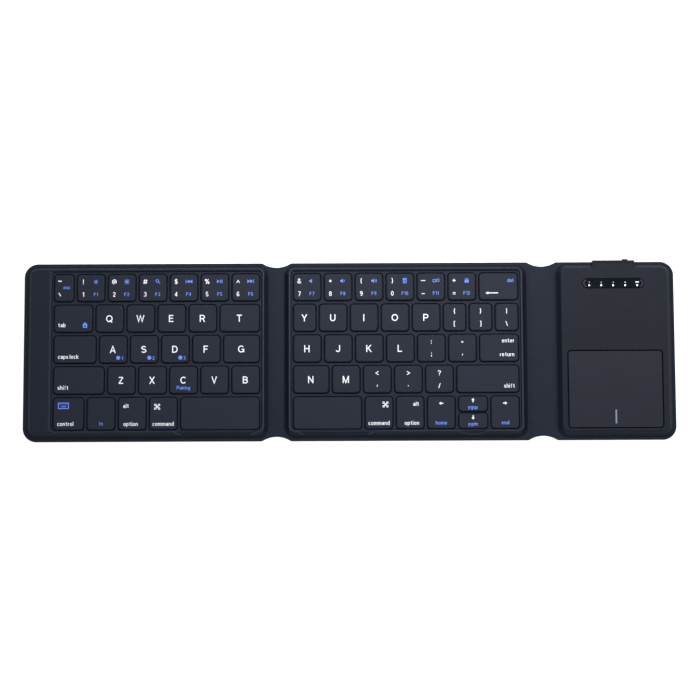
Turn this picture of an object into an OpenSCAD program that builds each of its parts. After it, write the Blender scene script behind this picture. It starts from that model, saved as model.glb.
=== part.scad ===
// Folding keyboard: a main key panel with a second key panel on its left and a touchpad panel on
// its right. Each side panel hangs on a soft hinge strip with two creases, like a book on its
// spine, and folds over the main panel: the left one first, the touchpad panel over both.
// Millimetres. X runs along the keyboard, Y to its rear and Z up. The origin is on the underside,
// at the middle of the main panel, which also is the face that it rests on.

/* [Keys] */
// Width of a standard key cap
key_w = 14.1; // [12.5:0.1:16]
// Depth of a standard key cap, front to back
key_d = 14.2; // [12.5:0.1:16]
// Depth of the caps in the front row
front_key_d = 16.8; // [15.5:0.1:19]
// Gap between caps in a row
key_gap_x = 1.9; // [1.7:0.1:3]
// Gap between two rows of caps
key_gap_y = 2.0; // [1.7:0.1:3]
// Radius of a cap's corners, seen from above
key_corner_r = 1.8; // [1:0.1:2.5]
// Rounding along the edge of a cap's top
key_edge_r = 0.5; // [0.2:0.05:0.7]
// How far a key goes down
key_travel = 1.2; // [0.8:0.1:1.3]
// Thickness of a cap's top
cap_top_t = 0.9; // [0.8:0.05:1]
// Thickness of a cap's skirt
cap_wall_t = 0.9; // [0.7:0.05:1]
// How far the caps stand above the key frame
cap_proud = 0.9; // [0.6:0.05:0.95]
// Running clearance round a cap in its window
key_slit = 0.4; // [0.3:0.05:0.6]

/* [Wide and narrow keys] */
// Width of the escape key
escape_w = 9.9; // [9:0.1:14]
// Width of the tab key
tab_w = 19.7; // [15:0.1:22]
// Width of the caps lock key
caps_lock_w = 21.6; // [15:0.1:24]
// Width of the left shift key
shift_w = 25.9; // [18:0.1:28]
// Width of the control key
control_w = 15.6; // [13:0.1:20]
// Width of the backspace key
backspace_w = 19.9; // [15:0.1:24]
// Width of the narrow keys at both ends of the Y row
narrow_key_w = 11.5; // [10.5:0.1:13]
// Width of the N key
n_key_w = 18.1; // [14:0.1:20]
// Width of the space key on the main panel
space_w = 34.9; // [25:0.1:38]
// Width of the half-height up and down keys
arrow_w = 14.8; // [13:0.1:16]
// Gap between the up key and the down key
arrow_gap = 1.0; // [0.8:0.1:2]

/* [Panels] */
// Height of a panel at its crest
panel_h = 6.0; // [5.9:0.1:8]
// Width of the sloped side between the crest and the rim flange
slope_w = 2.2; // [1.6:0.1:4]
// Width of the flat rim flange
flange_w = 1.9; // [1:0.1:4]
// Radius of the crest's corners, seen from above
crest_r = 3.0; // [2:0.1:5]
// Radius of the outer corners of the unfolded keyboard
outer_r = 7.0; // [5:0.1:12]
// Thickness of one ply of the covering
skin_t = 0.7; // [0.5:0.05:0.8]
// Distance from the crest to the keys, at the sides
side_margin = 2.25; // [2.2:0.05:4]
// Distance from the crest to the keys, at the rear
rear_margin = 2.4; // [2.2:0.05:5]
// Distance from the crest to the keys, at the front
front_margin = 1.35; // [1.3:0.05:4]
// Width of the blank strip left of the keys on the left panel
grip_w = 11.85; // [6:0.1:20]

/* [Hinges] */
// Air between two panels that lie folded on each other
fold_gap = 0.5; // [0.4:0.1:2]
// Extra air under the touchpad panel, which folds last
last_fold_gap = 0.7; // [0.5:0.1:2]
// Distance from a side panel's crest to its crease
outer_crease = 0.7; // [0.6:0.05:1]
// Distance from the main panel's left slope to its crease
left_crease_foot = 0.5; // [0.4:0.1:2]
// Distance from the main panel's right slope to its crease
right_crease_foot = 1.1; // [0.6:0.1:3]
// Half the width of the gap that a crease leaves between rigid pieces
crease_gap = 0.2; // [0.15:0.05:0.3]
// Radius of the scallops in the edge at the hinges
scallop_r = 13.3; // [9:0.1:20]
// Depth of the scallops
scallop_depth = 2.3; // [1:0.1:4]
// Width of the flat cables that cross the hinges
cable_w = 16; // [6:1:30]

/* [Key frame and switches] */
// Height of the key frame's top face
web_z = 5.0; // [4.9:0.05:5.1]
// Thickness of the key frame's grid
web_t = 1.0; // [0.8:0.05:1.2]
// Thickness of the key frame's outer wall
frame_wall_t = 0.9; // [0.8:0.05:1]
// Thickness of the steel base plate
plate_t = 0.5; // [0.4:0.05:0.6]
// Thickness of the switch membrane
membrane_t = 0.3; // [0.2:0.05:0.4]
// Height of a rubber dome
dome_h = 2.7; // [2.4:0.05:2.75]
// Base radius of a rubber dome under a full-size key
dome_r = 2.5; // [2:0.1:2.6]
// Length of a scissor link
scissor_l = 9; // [7.5:0.1:9]
// Outer width of a scissor pair
scissor_w = 8.8; // [8.4:0.1:9.2]
// Thickness of a scissor link's bars
arm_t = 0.6; // [0.5:0.05:0.7]
// Radius of the stakes that hold the frame down on the base plate
stake_r = 0.45; // [0.3:0.05:0.5]
// Stakes in each row of webs
stakes_per_row = 6; // [2:1:10]

/* [Touchpad panel] */
// Width of the touchpad
pad_w = 48.5; // [40:0.1:49]
// Depth of the touchpad
pad_d = 40.2; // [35:0.1:44]
// Radius of the touchpad's corners
pad_r = 1.5; // [0.8:0.1:4]
// Distance from the touchpad to the panel's side crests
pad_side_margin = 2.9; // [2.9:0.1:10]
// Distance from the touchpad's front edge to the panel's front crest
pad_front_margin = 1.5; // [1.4:0.05:4]
// Thickness of the touchpad's plate
pad_t = 0.8; // [0.6:0.05:1]
// Slit round the touchpad
pad_slit = 0.3; // [0.2:0.05:0.5]
// Thickness of the touch sensor board
sensor_t = 0.8; // [0.6:0.1:1]
// Length of the indicator window
window_w = 31.6; // [28:0.1:40]
// Width of the indicator window
window_d = 5.0; // [4:0.1:6]
// Distance from the indicator window's middle to the panel's rear crest
window_y_in = 8.2; // [6:0.1:12]
// Distance between the indicator lamps
lamp_pitch = 6.2; // [5:0.1:6.4]
// Width of the housing's tongue, which reaches the rear edge
tongue_w = 22.3; // [22:0.1:30]
// Distance from the panel's left crest to the tongue
tongue_x_in = 15.9; // [8:0.1:20]
// Width of the power slider's knob
knob_w = 3.0; // [2:0.1:3.5]
// How far the knob stands out behind the panel
knob_proud = 0.8; // [0.4:0.1:1.5]
// How far the power slider moves
slider_travel = 2.0; // [1:0.1:2.2]

/* [Hidden] */
$fn = 48;

// Clearances between pieces that lie against each other
fit = 0.05;
seat_gap = 0.1;

// Heights of the layers, from the underside up
flange_z = 2 * skin_t;
crease_z = flange_z;
plate_z = skin_t;
membrane_z = plate_z + plate_t;
switch_z = membrane_z + membrane_t;
cap_z = web_z + cap_proud;
ceiling_z = cap_z - cap_top_t;
skirt_z = web_z - web_t + fit;

// Widths of the key fields, set by their number rows
left_field_w = escape_w + 6 * (key_w + key_gap_x);
main_field_w = backspace_w + 6 * (key_w + key_gap_x);

// Depth of the key field and of the whole keyboard
field_d = 4 * (key_d + key_gap_y) + front_key_d;
crest_d = rear_margin + field_d + front_margin;
rim_w = slope_w + flange_w;
panel_d = crest_d + 2 * rim_w;
field_rear = crest_d / 2 - rear_margin;
field_front = field_rear - field_d;

// Hinge strips: as long, between their creases, as the folded stack beside them is high
left_strip_w = 2 * (panel_h - crease_z) + fold_gap;
right_strip_w = left_strip_w + panel_h + last_fold_gap;

// Places along the keyboard, from the main panel outwards
main_right = main_field_w / 2 + side_margin;
main_left = -main_right;
main_left_crease = main_left - slope_w - left_crease_foot;
left_crease = main_left_crease - left_strip_w;
left_right = left_crease - outer_crease;
left_field_x = left_right - side_margin - left_field_w;
left_left = left_field_x - grip_w;
main_right_crease = main_right + slope_w + right_crease_foot;
right_crease = main_right_crease + right_strip_w;
right_left = right_crease + outer_crease;
pad_panel_w = pad_w + 2 * pad_side_margin;
right_right = right_left + pad_panel_w;
sheet_left = left_left - rim_w;
sheet_right = right_right + rim_w;
main_field_x = -main_field_w / 2;

// Piece of sheet that belongs to each body
left_band = [sheet_left, left_crease - crease_gap];
left_strip_band = [left_crease + crease_gap, main_left_crease - crease_gap];
main_band = [main_left_crease + crease_gap, main_right_crease - crease_gap];
right_strip_band = [main_right_crease + crease_gap, right_crease - crease_gap];
right_band = [right_crease + crease_gap, sheet_right];

// Wall between the crest and the frame or housing inside it
crest_wall = 0.3;
// Flat lip of the covering inside the crest, and the bevel down to the key frame
bevel_w = 0.6;
lip_in = 0.9;

// Key rows, from the rear to the front: widths from left to right, where 0 takes what is left
fill = 0;
left_rows = [
    [escape_w, key_w, key_w, key_w, key_w, key_w, key_w],
    [tab_w, key_w, key_w, key_w, key_w, fill],
    [caps_lock_w, key_w, key_w, key_w, key_w, fill],
    [shift_w, key_w, key_w, key_w, key_w, fill],
    [control_w, key_w, key_w, key_w, fill],
];
main_rows = [
    [key_w, key_w, key_w, key_w, key_w, key_w, backspace_w],
    [narrow_key_w, key_w, key_w, key_w, key_w, narrow_key_w, narrow_key_w, fill],
    [key_w, key_w, key_w, key_w, key_w, key_w, fill],
    [n_key_w, key_w, key_w, key_w, key_w, fill],
    [space_w, key_w, key_w, key_w, arrow_w, fill],
];
front_row = 4;
arrow_column = 4;

// One cell per key: [row, index, centre x, centre y, width, depth]
function sum(list, upto) = upto <= 0 ? 0 : list[upto - 1] + sum(list, upto - 1);
function filled(row, field_w) =
    let (rest = field_w - sum(row, len(row)) - (len(row) - 1) * key_gap_x)
    [for (w = row) w == fill ? rest : w];
function row_depth(r) = r == front_row ? front_key_d : key_d;
function row_rear(r) = field_rear - r * (key_d + key_gap_y);
function row_cells(widths, r, x0) = [
    for (i = [0 : len(widths) - 1])
        [r, i, x0 + sum(widths, i) + i * key_gap_x + widths[i] / 2,
         row_rear(r) - row_depth(r) / 2, widths[i], row_depth(r)]
];
function field_cells(rows, x0, field_w) = [
    for (r = [0 : len(rows) - 1]) each row_cells(filled(rows[r], field_w), r, x0)
];

// The up and down keys share a column, and the right key comes after them
half_d = (front_key_d - arrow_gap) / 2;
function moved(c, i, dy, d) = [c[0], i, c[2], c[3] + dy, c[4], d];
function split_arrow(c) =
    c[0] != front_row || c[1] < arrow_column ? [c]
    : c[1] > arrow_column ? [moved(c, c[1] + 1, 0, c[5])]
    : [moved(c, arrow_column, (half_d + arrow_gap) / 2, half_d),
       moved(c, arrow_column + 1, -(half_d + arrow_gap) / 2, half_d)];

left_cells = field_cells(left_rows, left_field_x, left_field_w);
main_cells = [for (c = field_cells(main_rows, main_field_x, main_field_w)) each split_arrow(c)];

// Key nodes: [name, cells, row, first index, last index]
KEY_GROUPS = [
    ["key_escape", left_cells, 0, 0, 0],
    ["keys_1_to_6", left_cells, 0, 1, 6],
    ["key_tab", left_cells, 1, 0, 0],
    ["keys_q_to_t", left_cells, 1, 1, 5],
    ["key_caps_lock", left_cells, 2, 0, 0],
    ["keys_a_to_g", left_cells, 2, 1, 5],
    ["key_shift_left", left_cells, 3, 0, 0],
    ["keys_z_to_b", left_cells, 3, 1, 5],
    ["key_control", left_cells, 4, 0, 0],
    ["key_fn", left_cells, 4, 1, 1],
    ["key_option_left", left_cells, 4, 2, 2],
    ["key_command_left", left_cells, 4, 3, 3],
    ["key_space_left", left_cells, 4, 4, 4],
    ["keys_7_to_equal", main_cells, 0, 0, 5],
    ["key_backspace", main_cells, 0, 6, 6],
    ["keys_y_to_backslash", main_cells, 1, 0, 7],
    ["keys_h_to_quote", main_cells, 2, 0, 5],
    ["key_enter", main_cells, 2, 6, 6],
    ["keys_n_to_slash", main_cells, 3, 0, 4],
    ["key_shift_right", main_cells, 3, 5, 5],
    ["key_space_right", main_cells, 4, 0, 0],
    ["keys_command_option_right", main_cells, 4, 1, 2],
    ["key_left", main_cells, 4, 3, 3],
    ["key_up", main_cells, 4, 4, 4],
    ["key_down", main_cells, 4, 5, 5],
    ["key_right", main_cells, 4, 6, 6],
];

// Scissor links under a cap, short enough for its hollow
clip_t = 0.6;
arm_gap = 0.15;
low_bar_z = switch_z + 0.1 + arm_t / 2;
high_bar_z = ceiling_z - 0.1 - arm_t / 2;
function link_l(d) = min(scissor_l, d - 2 * (cap_wall_t + clip_t + 2 * seat_gap));
function link_w(w) = min(scissor_w, w - 2 * (cap_wall_t + 2 * seat_gap));
function inner_w(w) = link_w(w) - 2 * (arm_t + arm_gap);
function dome_base_r(w, d) =
    min(dome_r, inner_w(w) / 2 - arm_t - seat_gap, link_l(d) / 2 - 2 * arm_t - seat_gap);

// Touchpad panel, inside its crest
right_mid = (right_left + right_right) / 2;
housing_z = 5.2;
housing_top_t = 0.7;
housing_floor_t = 0.5;
housing_wall_t = 0.75;
pad_front = -crest_d / 2 + pad_front_margin;
pad_rear = pad_front + pad_d;
pad_z = panel_h - seat_gap - pad_t;
sensor_inset = 1.2;
sensor_z = pad_z - sensor_t;
window_y = crest_d / 2 - window_y_in;
window_ledge = 0.9;
window_sink = 0.25;
lamp_count = 5;
tongue_x = right_left + tongue_x_in;
rear_y = crest_d / 2 + rim_w;
rear_wall_t = 1.2;

// Main board with what sits on it
board_z = 2.4;
board_t = 0.8;
board_front = pad_rear + 3;
port_w = 8.94;
port_h = 3.16;
port_d = 7.35;
port_x_in = 6.7;
port_x = tongue_x + port_x_in;
port_z = plate_z + housing_floor_t + fit;
switch_w = 8.5;
switch_h = 1.2;
switch_d = 3.2;
switch_x = tongue_x + tongue_w - rear_wall_t - 0.6 - switch_w / 2;
switch_rear = rear_y - rear_wall_t - 0.9;
knob_x = switch_x + slider_travel / 2;
knob_h = 0.9;
battery_size = [40, 26, 2.2];
pad_switch_r = 2.2;
pad_switch_y_in = 5;
switch_board_d = 6;
cable_slot_l = 5;

skin_colour = "#2f3139";
hinge_colour = "#33353e";
cap_colour = "#2d3038";
frame_colour = "#2a2d36";
steel_colour = "#a9adb3";
board_colour = "#1f5a3a";

// ---------- Outlines and sweeps that several pieces share ----------

module rounded(size, r) {
    square([size[0] - 2 * r, size[1]], center = true);
    square([size[0], size[1] - 2 * r], center = true);
    for (x = [-1, 1], y = [-1, 1])
        translate([x * (size[0] / 2 - r), y * (size[1] / 2 - r)]) circle(r);
}

// Rounded rectangle between two X places, as deep as the crest less an inset all round
module crest_outline(x0, x1, inset) {
    translate([(x0 + x1) / 2, 0])
        rounded([x1 - x0 - 2 * inset, crest_d - 2 * inset], crest_r - inset);
}

// The whole unfolded sheet, with its scallops at the hinges
module sheet_outline() {
    difference() {
        translate([(sheet_left + sheet_right) / 2, 0])
            rounded([sheet_right - sheet_left, panel_d], outer_r);
        for (x = [(left_right + main_left) / 2, (main_right + right_left) / 2], side = [-1, 1])
            translate([x, side * (panel_d / 2 - scallop_depth + scallop_r)]) circle(scallop_r);
    }
}

// The part of the sheet in one band, from z to z + t
module sheet_band(band, z, t) {
    translate([0, 0, z]) linear_extrude(t) intersection() {
        sheet_outline();
        translate([band[0], -panel_d]) square([band[1] - band[0], 2 * panel_d]);
    }
}

// Side of a panel as an S-curve, from the crest at u = 0 down to the flange
slope_steps = 8;
function smooth(t) = t * t * (3 - 2 * t);
slope_curve = [
    for (i = [0 : slope_steps])
        [slope_w * i / slope_steps, panel_h - (panel_h - flange_z) * smooth(i / slope_steps)]
];
module slope_profile(inner) {
    polygon(concat([[-inner, skin_t], [-inner, panel_h]], slope_curve, [[slope_w, skin_t]]));
}

// Solid panel between two X places: a flat top with the S-curve swept round it
module panel_block(x0, x1) {
    w = x1 - x0;
    overlap = crest_r / 2;
    translate([0, 0, skin_t]) linear_extrude(panel_h - skin_t) crest_outline(x0, x1, 0);
    for (side = [0, 1]) {
        mirror([0, side, 0]) translate([x0 + crest_r, crest_d / 2, 0]) rotate([90, 0, 90])
            linear_extrude(w - 2 * crest_r) slope_profile(overlap);
        translate([(x0 + x1) / 2, 0, 0]) mirror([side, 0, 0])
            translate([w / 2, crest_d / 2 - crest_r, 0]) rotate([90, 0, 0])
                linear_extrude(crest_d - 2 * crest_r) slope_profile(overlap);
    }
    for (sx = [0, 1], sy = [0, 1])
        translate([(x0 + x1) / 2, 0, 0]) mirror([sx, 0, 0]) mirror([0, sy, 0])
            translate([w / 2 - crest_r, crest_d / 2 - crest_r, 0])
                rotate_extrude(angle = 90) translate([crest_r, 0]) slope_profile(overlap);
}

// Opening over the keys, with a bevelled edge all round
module key_opening(x0, x1) {
    y0 = field_front - front_margin + lip_in;
    y1 = field_rear + rear_margin - lip_in;
    bevel_h = panel_h - web_z;
    intersection() {
        translate([0, panel_d, web_z]) rotate([90, 0, 0]) linear_extrude(2 * panel_d)
            polygon([[x0, 0], [x1, 0], [x1 + bevel_w, bevel_h + 1], [x0 - bevel_w, bevel_h + 1]]);
        translate([sheet_left, 0, web_z]) rotate([90, 0, 90])
            linear_extrude(sheet_right - sheet_left)
            polygon([[y0, 0], [y1, 0], [y1 + bevel_w, bevel_h + 1], [y0 - bevel_w, bevel_h + 1]]);
    }
}

// Flat slot through a wall for a hinge cable
module cable_slot(x0, x1) {
    translate([x0, -cable_w / 2 - 0.5, skin_t]) cube([x1 - x0, cable_w + 1, 0.6]);
}

// Low place in the front crest where a thumb reaches the space key
relief_z = web_z + 0.1;
module thumb_relief(x0, x1) {
    reach = slope_w * 0.7;
    translate([x0, -crest_d / 2, 0]) rotate([90, 0, 90]) linear_extrude(x1 - x0)
        polygon([[front_margin, relief_z], [front_margin, panel_h + 1], [-slope_w - 1, panel_h + 1],
                 [-slope_w - 1, flange_z + 0.9], [-reach, flange_z + 1.6]]);
}

// Crescent in the front crest where a fingertip reaches the down key
finger_r = 18;
finger_reach = 2.4;
module finger_relief(x) {
    translate([x, -crest_d / 2 - slope_w / 2 - finger_r + finger_reach, relief_z])
        cylinder(h = panel_h, r = finger_r, $fn = 2 * $fn);
}

// ---------- Pieces that both key panels have ----------

module key_top_cover(x0, x1, field_x, field_w, band, reliefs, finger_places = []) {
    open_x0 = field_x - side_margin + lip_in;
    open_x1 = field_x + field_w + side_margin - lip_in;
    color(skin_colour) difference() {
        intersection() {
            union() {
                panel_block(x0, x1);
                sheet_band(band, skin_t, flange_z - skin_t);
            }
            translate([band[0], -panel_d, 0])
                cube([band[1] - band[0], 2 * panel_d, panel_h + 1]);
        }
        linear_extrude(web_z) crest_outline(x0, x1, crest_wall);
        key_opening(open_x0, open_x1);
        cable_slot(x0 - 2 * rim_w, x1 + 2 * rim_w);
        for (relief = reliefs) thumb_relief(relief[0], relief[1]);
        for (x = finger_places) finger_relief(x);
    }
}

// Places of the stakes, in the webs between the rows
function stake_places(x0, x1) = [
    for (r = [1 : 4], i = [1 : stakes_per_row])
        [x0 + (x1 - x0) * i / (stakes_per_row + 1), row_rear(r) + key_gap_y / 2]
];

module key_frame(x0, x1, field_x, field_w, cells) {
    color(frame_colour) difference() {
        union() {
            translate([0, 0, web_z - web_t]) linear_extrude(web_t)
                crest_outline(x0, x1, crest_wall);
            translate([0, 0, skin_t]) linear_extrude(web_z - web_t - skin_t) difference() {
                crest_outline(x0, x1, crest_wall);
                crest_outline(x0, x1, crest_wall + frame_wall_t);
            }
            for (p = stake_places(field_x, field_x + field_w))
                translate([p[0], p[1], membrane_z]) cylinder(h = web_z - web_t - membrane_z, r = stake_r);
        }
        for (c = cells)
            translate([c[2], c[3], web_z - web_t - 1]) linear_extrude(web_t + 2)
                rounded([c[4] + 2 * key_slit, c[5] + 2 * key_slit], key_corner_r + key_slit);
        cable_slot(x0 - 1, x0 + 2 * frame_wall_t);
        cable_slot(x1 - 2 * frame_wall_t, x1 + 1);
    }
}

// Hooks of the base plate beyond both ends of a scissor, in local coordinates of the cell
module hook_places(c) {
    for (side = [-1, 1])
        translate([c[2], c[3] + side * (link_l(c[5]) / 2 + seat_gap + clip_t / 2), 0]) children();
}

module base_plate(x0, x1, cells) {
    inset = crest_wall + frame_wall_t + seat_gap;
    color(steel_colour) difference() {
        union() {
            translate([0, 0, plate_z]) linear_extrude(plate_t) crest_outline(x0, x1, inset);
            for (c = cells) hook_places(c)
                translate([-link_w(c[4]) / 4, -clip_t / 2, plate_z])
                    cube([link_w(c[4]) / 2, clip_t, low_bar_z - plate_z]);
        }
        cable_slot(x0, x0 + cable_slot_l);
        cable_slot(x1 - cable_slot_l, x1);
    }
}

module membrane(x0, x1, field_x, field_w, cells) {
    inset = crest_wall + frame_wall_t + seat_gap;
    color("silver") difference() {
        translate([0, 0, membrane_z]) linear_extrude(membrane_t) crest_outline(x0, x1, inset);
        for (p = stake_places(field_x, field_x + field_w))
            translate([p[0], p[1], 0]) cylinder(h = panel_h, r = stake_r + seat_gap);
        for (c = cells) hook_places(c)
            translate([-link_w(c[4]) / 4 - seat_gap, -clip_t / 2 - seat_gap, 0])
                cube([link_w(c[4]) / 2 + 2 * seat_gap, clip_t + 2 * seat_gap, panel_h]);
    }
}

module domes(cells) {
    color("whitesmoke") for (c = cells) {
        r = dome_base_r(c[4], c[5]);
        translate([c[2], c[3], switch_z]) rotate_extrude()
            polygon([[0.75 * r, 0], [r, 0], [r, 0.3], [0.6 * r, 0.8 * dome_h], [0.55 * r, dome_h],
                     [0, dome_h], [0, dome_h - 0.7], [0.35 * r, dome_h - 0.8], [0.75 * r, 0.2]]);
    }
}

// One link of a scissor: a flat ring, tilted about the scissor's pin
module scissor_ring(w, l, tilt) {
    translate([0, 0, (low_bar_z + high_bar_z) / 2]) rotate([tilt, 0, 0]) difference() {
        cube([w, l, arm_t], center = true);
        cube([w - 2 * arm_t, l - 2 * arm_t, 2 * arm_t], center = true);
    }
}

module scissors(cells) {
    color("dimgray") for (c = cells) {
        l = link_l(c[5]);
        tilt = asin((high_bar_z - low_bar_z) / l);
        translate([c[2], c[3], 0]) {
            scissor_ring(link_w(c[4]), l, tilt);
            scissor_ring(inner_w(c[4]), l, -tilt);
            for (side = [0, 1]) mirror([side, 0, 0])
                translate([inner_w(c[4]) / 2 - arm_t / 2, 0, (low_bar_z + high_bar_z) / 2])
                    rotate([0, 90, 0]) cylinder(h = arm_t + arm_gap, r = arm_t / 2 - fit);
        }
    }
}

// Section of a cap with its two top edges rounded
module cap_section(w, r) {
    h = cap_z - skirt_z;
    translate([-w / 2, 0]) square([w, h - r]);
    translate([-w / 2 + r, 0]) square([w - 2 * r, h]);
    for (side = [-1, 1]) translate([side * (w / 2 - r), h - r]) circle(r);
}

module key_cap(c) {
    w = c[4];
    d = c[5];
    h = cap_z - skirt_z;
    hollow_h = ceiling_z - skirt_z;
    boss_z = switch_z + dome_h + seat_gap;
    translate([c[2], c[3], skirt_z]) {
        difference() {
            intersection() {
                linear_extrude(h) rounded([w, d], key_corner_r);
                translate([0, d, 0]) rotate([90, 0, 0]) linear_extrude(2 * d)
                    cap_section(w, key_edge_r);
                translate([-w, 0, 0]) rotate([90, 0, 90]) linear_extrude(2 * w)
                    cap_section(d, key_edge_r);
            }
            translate([0, 0, -1]) linear_extrude(hollow_h + 1)
                rounded([w - 2 * cap_wall_t, d - 2 * cap_wall_t], key_corner_r - cap_wall_t / 2);
        }
        translate([0, 0, boss_z - skirt_z])
            cylinder(h = ceiling_z - boss_z + fit, r = 0.5 * dome_base_r(w, d));
        for (side = [-1, 1])
            translate([-link_w(w) / 4, side * (link_l(d) / 2 + seat_gap + clip_t / 2) - clip_t / 2,
                       high_bar_z - skirt_z])
                cube([link_w(w) / 2, clip_t, ceiling_z - high_bar_z + fit]);
    }
}

module key_group(group) {
    color(cap_colour) for (c = group[1])
        if (c[0] == group[2] && c[1] >= group[3] && c[1] <= group[4]) key_cap(c);
}

// ---------- Main panel ----------

main_space_end = main_field_x + space_w;
arrow_x = [for (c = main_cells) if (c[0] == front_row && c[1] == arrow_column) c[2]];
module main_bottom_cover() { color(skin_colour) sheet_band(main_band, 0, skin_t); }
module main_top_cover() {
    key_top_cover(main_left, main_right, main_field_x, main_field_w, main_band,
                  [[main_field_x + 1, main_space_end + key_w / 2]], arrow_x);
}
module main_key_frame() {
    key_frame(main_left, main_right, main_field_x, main_field_w, main_cells);
}
module main_base_plate() { base_plate(main_left, main_right, main_cells); }
module main_membrane() {
    membrane(main_left, main_right, main_field_x, main_field_w, main_cells);
}
module main_domes() { domes(main_cells); }
module main_scissors() { scissors(main_cells); }

// ---------- Left panel ----------

left_field_end = left_field_x + left_field_w;
left_space = left_cells[len(left_cells) - 1];
module left_bottom_cover() { color(skin_colour) sheet_band(left_band, 0, skin_t); }
module left_top_cover() {
    key_top_cover(left_left, left_right, left_field_x, left_field_w, left_band,
                  [[left_space[2] - left_space[4] / 2 - 2, left_field_end - 2]]);
}
module left_key_frame() {
    key_frame(left_left, left_right, left_field_x, left_field_w, left_cells);
}
module left_base_plate() { base_plate(left_left, left_right, left_cells); }
module left_membrane() {
    membrane(left_left, left_right, left_field_x, left_field_w, left_cells);
}
module left_domes() { domes(left_cells); }
module left_scissors() { scissors(left_cells); }

// ---------- Touchpad panel ----------

module tongue_outline(inset, reach) {
    translate([tongue_x + inset, 0]) square([tongue_w - 2 * inset, rear_y - reach]);
}

module pad_outline(grow) {
    translate([right_mid, (pad_front + pad_rear) / 2])
        rounded([pad_w + 2 * grow, pad_d + 2 * grow], pad_r + grow);
}

module window_outline(grow) {
    translate([right_mid - 0.35, window_y])
        rounded([window_w + 2 * grow, window_d + 2 * grow], window_d / 2 + grow - 0.01);
}

module right_bottom_cover() { color(skin_colour) sheet_band(right_band, 0, skin_t); }

module right_top_cover() {
    color(skin_colour) difference() {
        intersection() {
            union() {
                panel_block(right_left, right_right);
                sheet_band(right_band, skin_t, flange_z - skin_t);
                translate([0, 0, skin_t]) linear_extrude(panel_h - skin_t) tongue_outline(0, 0);
            }
            translate([right_band[0], -panel_d, 0])
                cube([right_band[1] - right_band[0], 2 * panel_d, panel_h + 1]);
        }
        linear_extrude(housing_z) crest_outline(right_left, right_right, crest_wall);
        linear_extrude(housing_z) tongue_outline(crest_wall, -1);
        linear_extrude(panel_h + 1) pad_outline(pad_slit);
        linear_extrude(panel_h + 1) window_outline(seat_gap);
        cable_slot(right_left - 2 * rim_w, right_left + 1);
    }
}

module right_housing() {
    inset = crest_wall + housing_wall_t;
    color(frame_colour) difference() {
        union() {
            difference() {
                translate([0, 0, skin_t]) linear_extrude(housing_z - skin_t) union() {
                    crest_outline(right_left, right_right, crest_wall);
                    tongue_outline(crest_wall, 0);
                }
                translate([0, 0, skin_t + housing_floor_t])
                    linear_extrude(housing_z - housing_top_t - skin_t - housing_floor_t) union() {
                        crest_outline(right_left, right_right, inset);
                        tongue_outline(rear_wall_t, rear_wall_t);
                    }
            }
            for (x = [right_left + 4, right_right - 4], y = [board_front + 3, crest_d / 2 - 4])
                translate([x, y, skin_t + housing_floor_t - fit])
                    cylinder(h = board_z - skin_t - housing_floor_t + fit, r = 1.6);
            translate([right_mid - pad_w / 3, pad_rear - 3.5, skin_t + housing_floor_t - fit])
                cube([pad_w * 2 / 3, 1.5, sensor_z - seat_gap - skin_t - housing_floor_t + fit]);
        }
        linear_extrude(panel_h) pad_outline(pad_slit);
        linear_extrude(panel_h) window_outline(-window_ledge);
        translate([port_x - port_w / 2 - fit, rear_y - port_d, port_z - fit])
            cube([port_w + 2 * fit, port_d + 1, port_h + 2 * fit]);
        translate([switch_x - (knob_w + slider_travel) / 2 - fit, switch_rear,
                   board_z + board_t + seat_gap])
            cube([knob_w + slider_travel + 2 * fit, rear_y, knob_h + 2 * seat_gap]);
        cable_slot(right_left, right_left + cable_slot_l);
    }
}

module touchpad() {
    r = key_edge_r / 2;
    color(cap_colour) translate([0, 0, pad_z]) {
        linear_extrude(pad_t - r) pad_outline(0);
        translate([0, 0, pad_t - r - fit]) linear_extrude(r + fit) pad_outline(-r);
    }
}

module touchpad_sensor() {
    color(board_colour) translate([0, 0, sensor_z]) linear_extrude(sensor_t)
        pad_outline(-sensor_inset);
}

module touchpad_switches() {
    floor_z = skin_t + housing_floor_t;
    color(board_colour) translate([right_mid, pad_front + pad_switch_y_in, floor_z]) {
        translate([-pad_w * 0.4, -switch_board_d / 2, 0])
            cube([pad_w * 0.8, switch_board_d, board_t]);
        for (x = [-pad_w / 3, pad_w / 3])
            translate([x, 0, board_t - fit])
                cylinder(h = sensor_z - 0.4 - floor_z - board_t + fit, r = pad_switch_r);
    }
}

module circuit_board() {
    edge = crest_wall + housing_wall_t + 0.2;
    color(board_colour) translate([0, 0, board_z]) linear_extrude(board_t) difference() {
        union() {
            translate([right_left + edge, board_front])
                square([pad_panel_w - 2 * edge, crest_d / 2 - edge - board_front]);
            translate([tongue_x + rear_wall_t + 0.2, board_front])
                square([tongue_w - 2 * rear_wall_t - 0.4, rear_y - rear_wall_t - 0.2 - board_front]);
        }
        translate([port_x - port_w / 2 - seat_gap, rear_y - port_d - seat_gap])
            square([port_w + 2 * seat_gap, port_d + 1]);
    }
}

module battery() {
    color("lightsteelblue")
        translate([right_mid, (pad_front + pad_rear) / 2 + 3, skin_t + housing_floor_t]) {
            translate([-battery_size[0] / 2, -battery_size[1] / 2, 0]) cube(battery_size);
            translate([-battery_size[0] / 4, battery_size[1] / 2 - fit, 0])
                cube([battery_size[0] / 2, 2.5, battery_size[2] / 2]);
        }
}

module port_outline(inset) {
    rounded([port_w - 2 * inset, port_h - 2 * inset], port_h / 2 - inset - 0.01);
}

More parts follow.
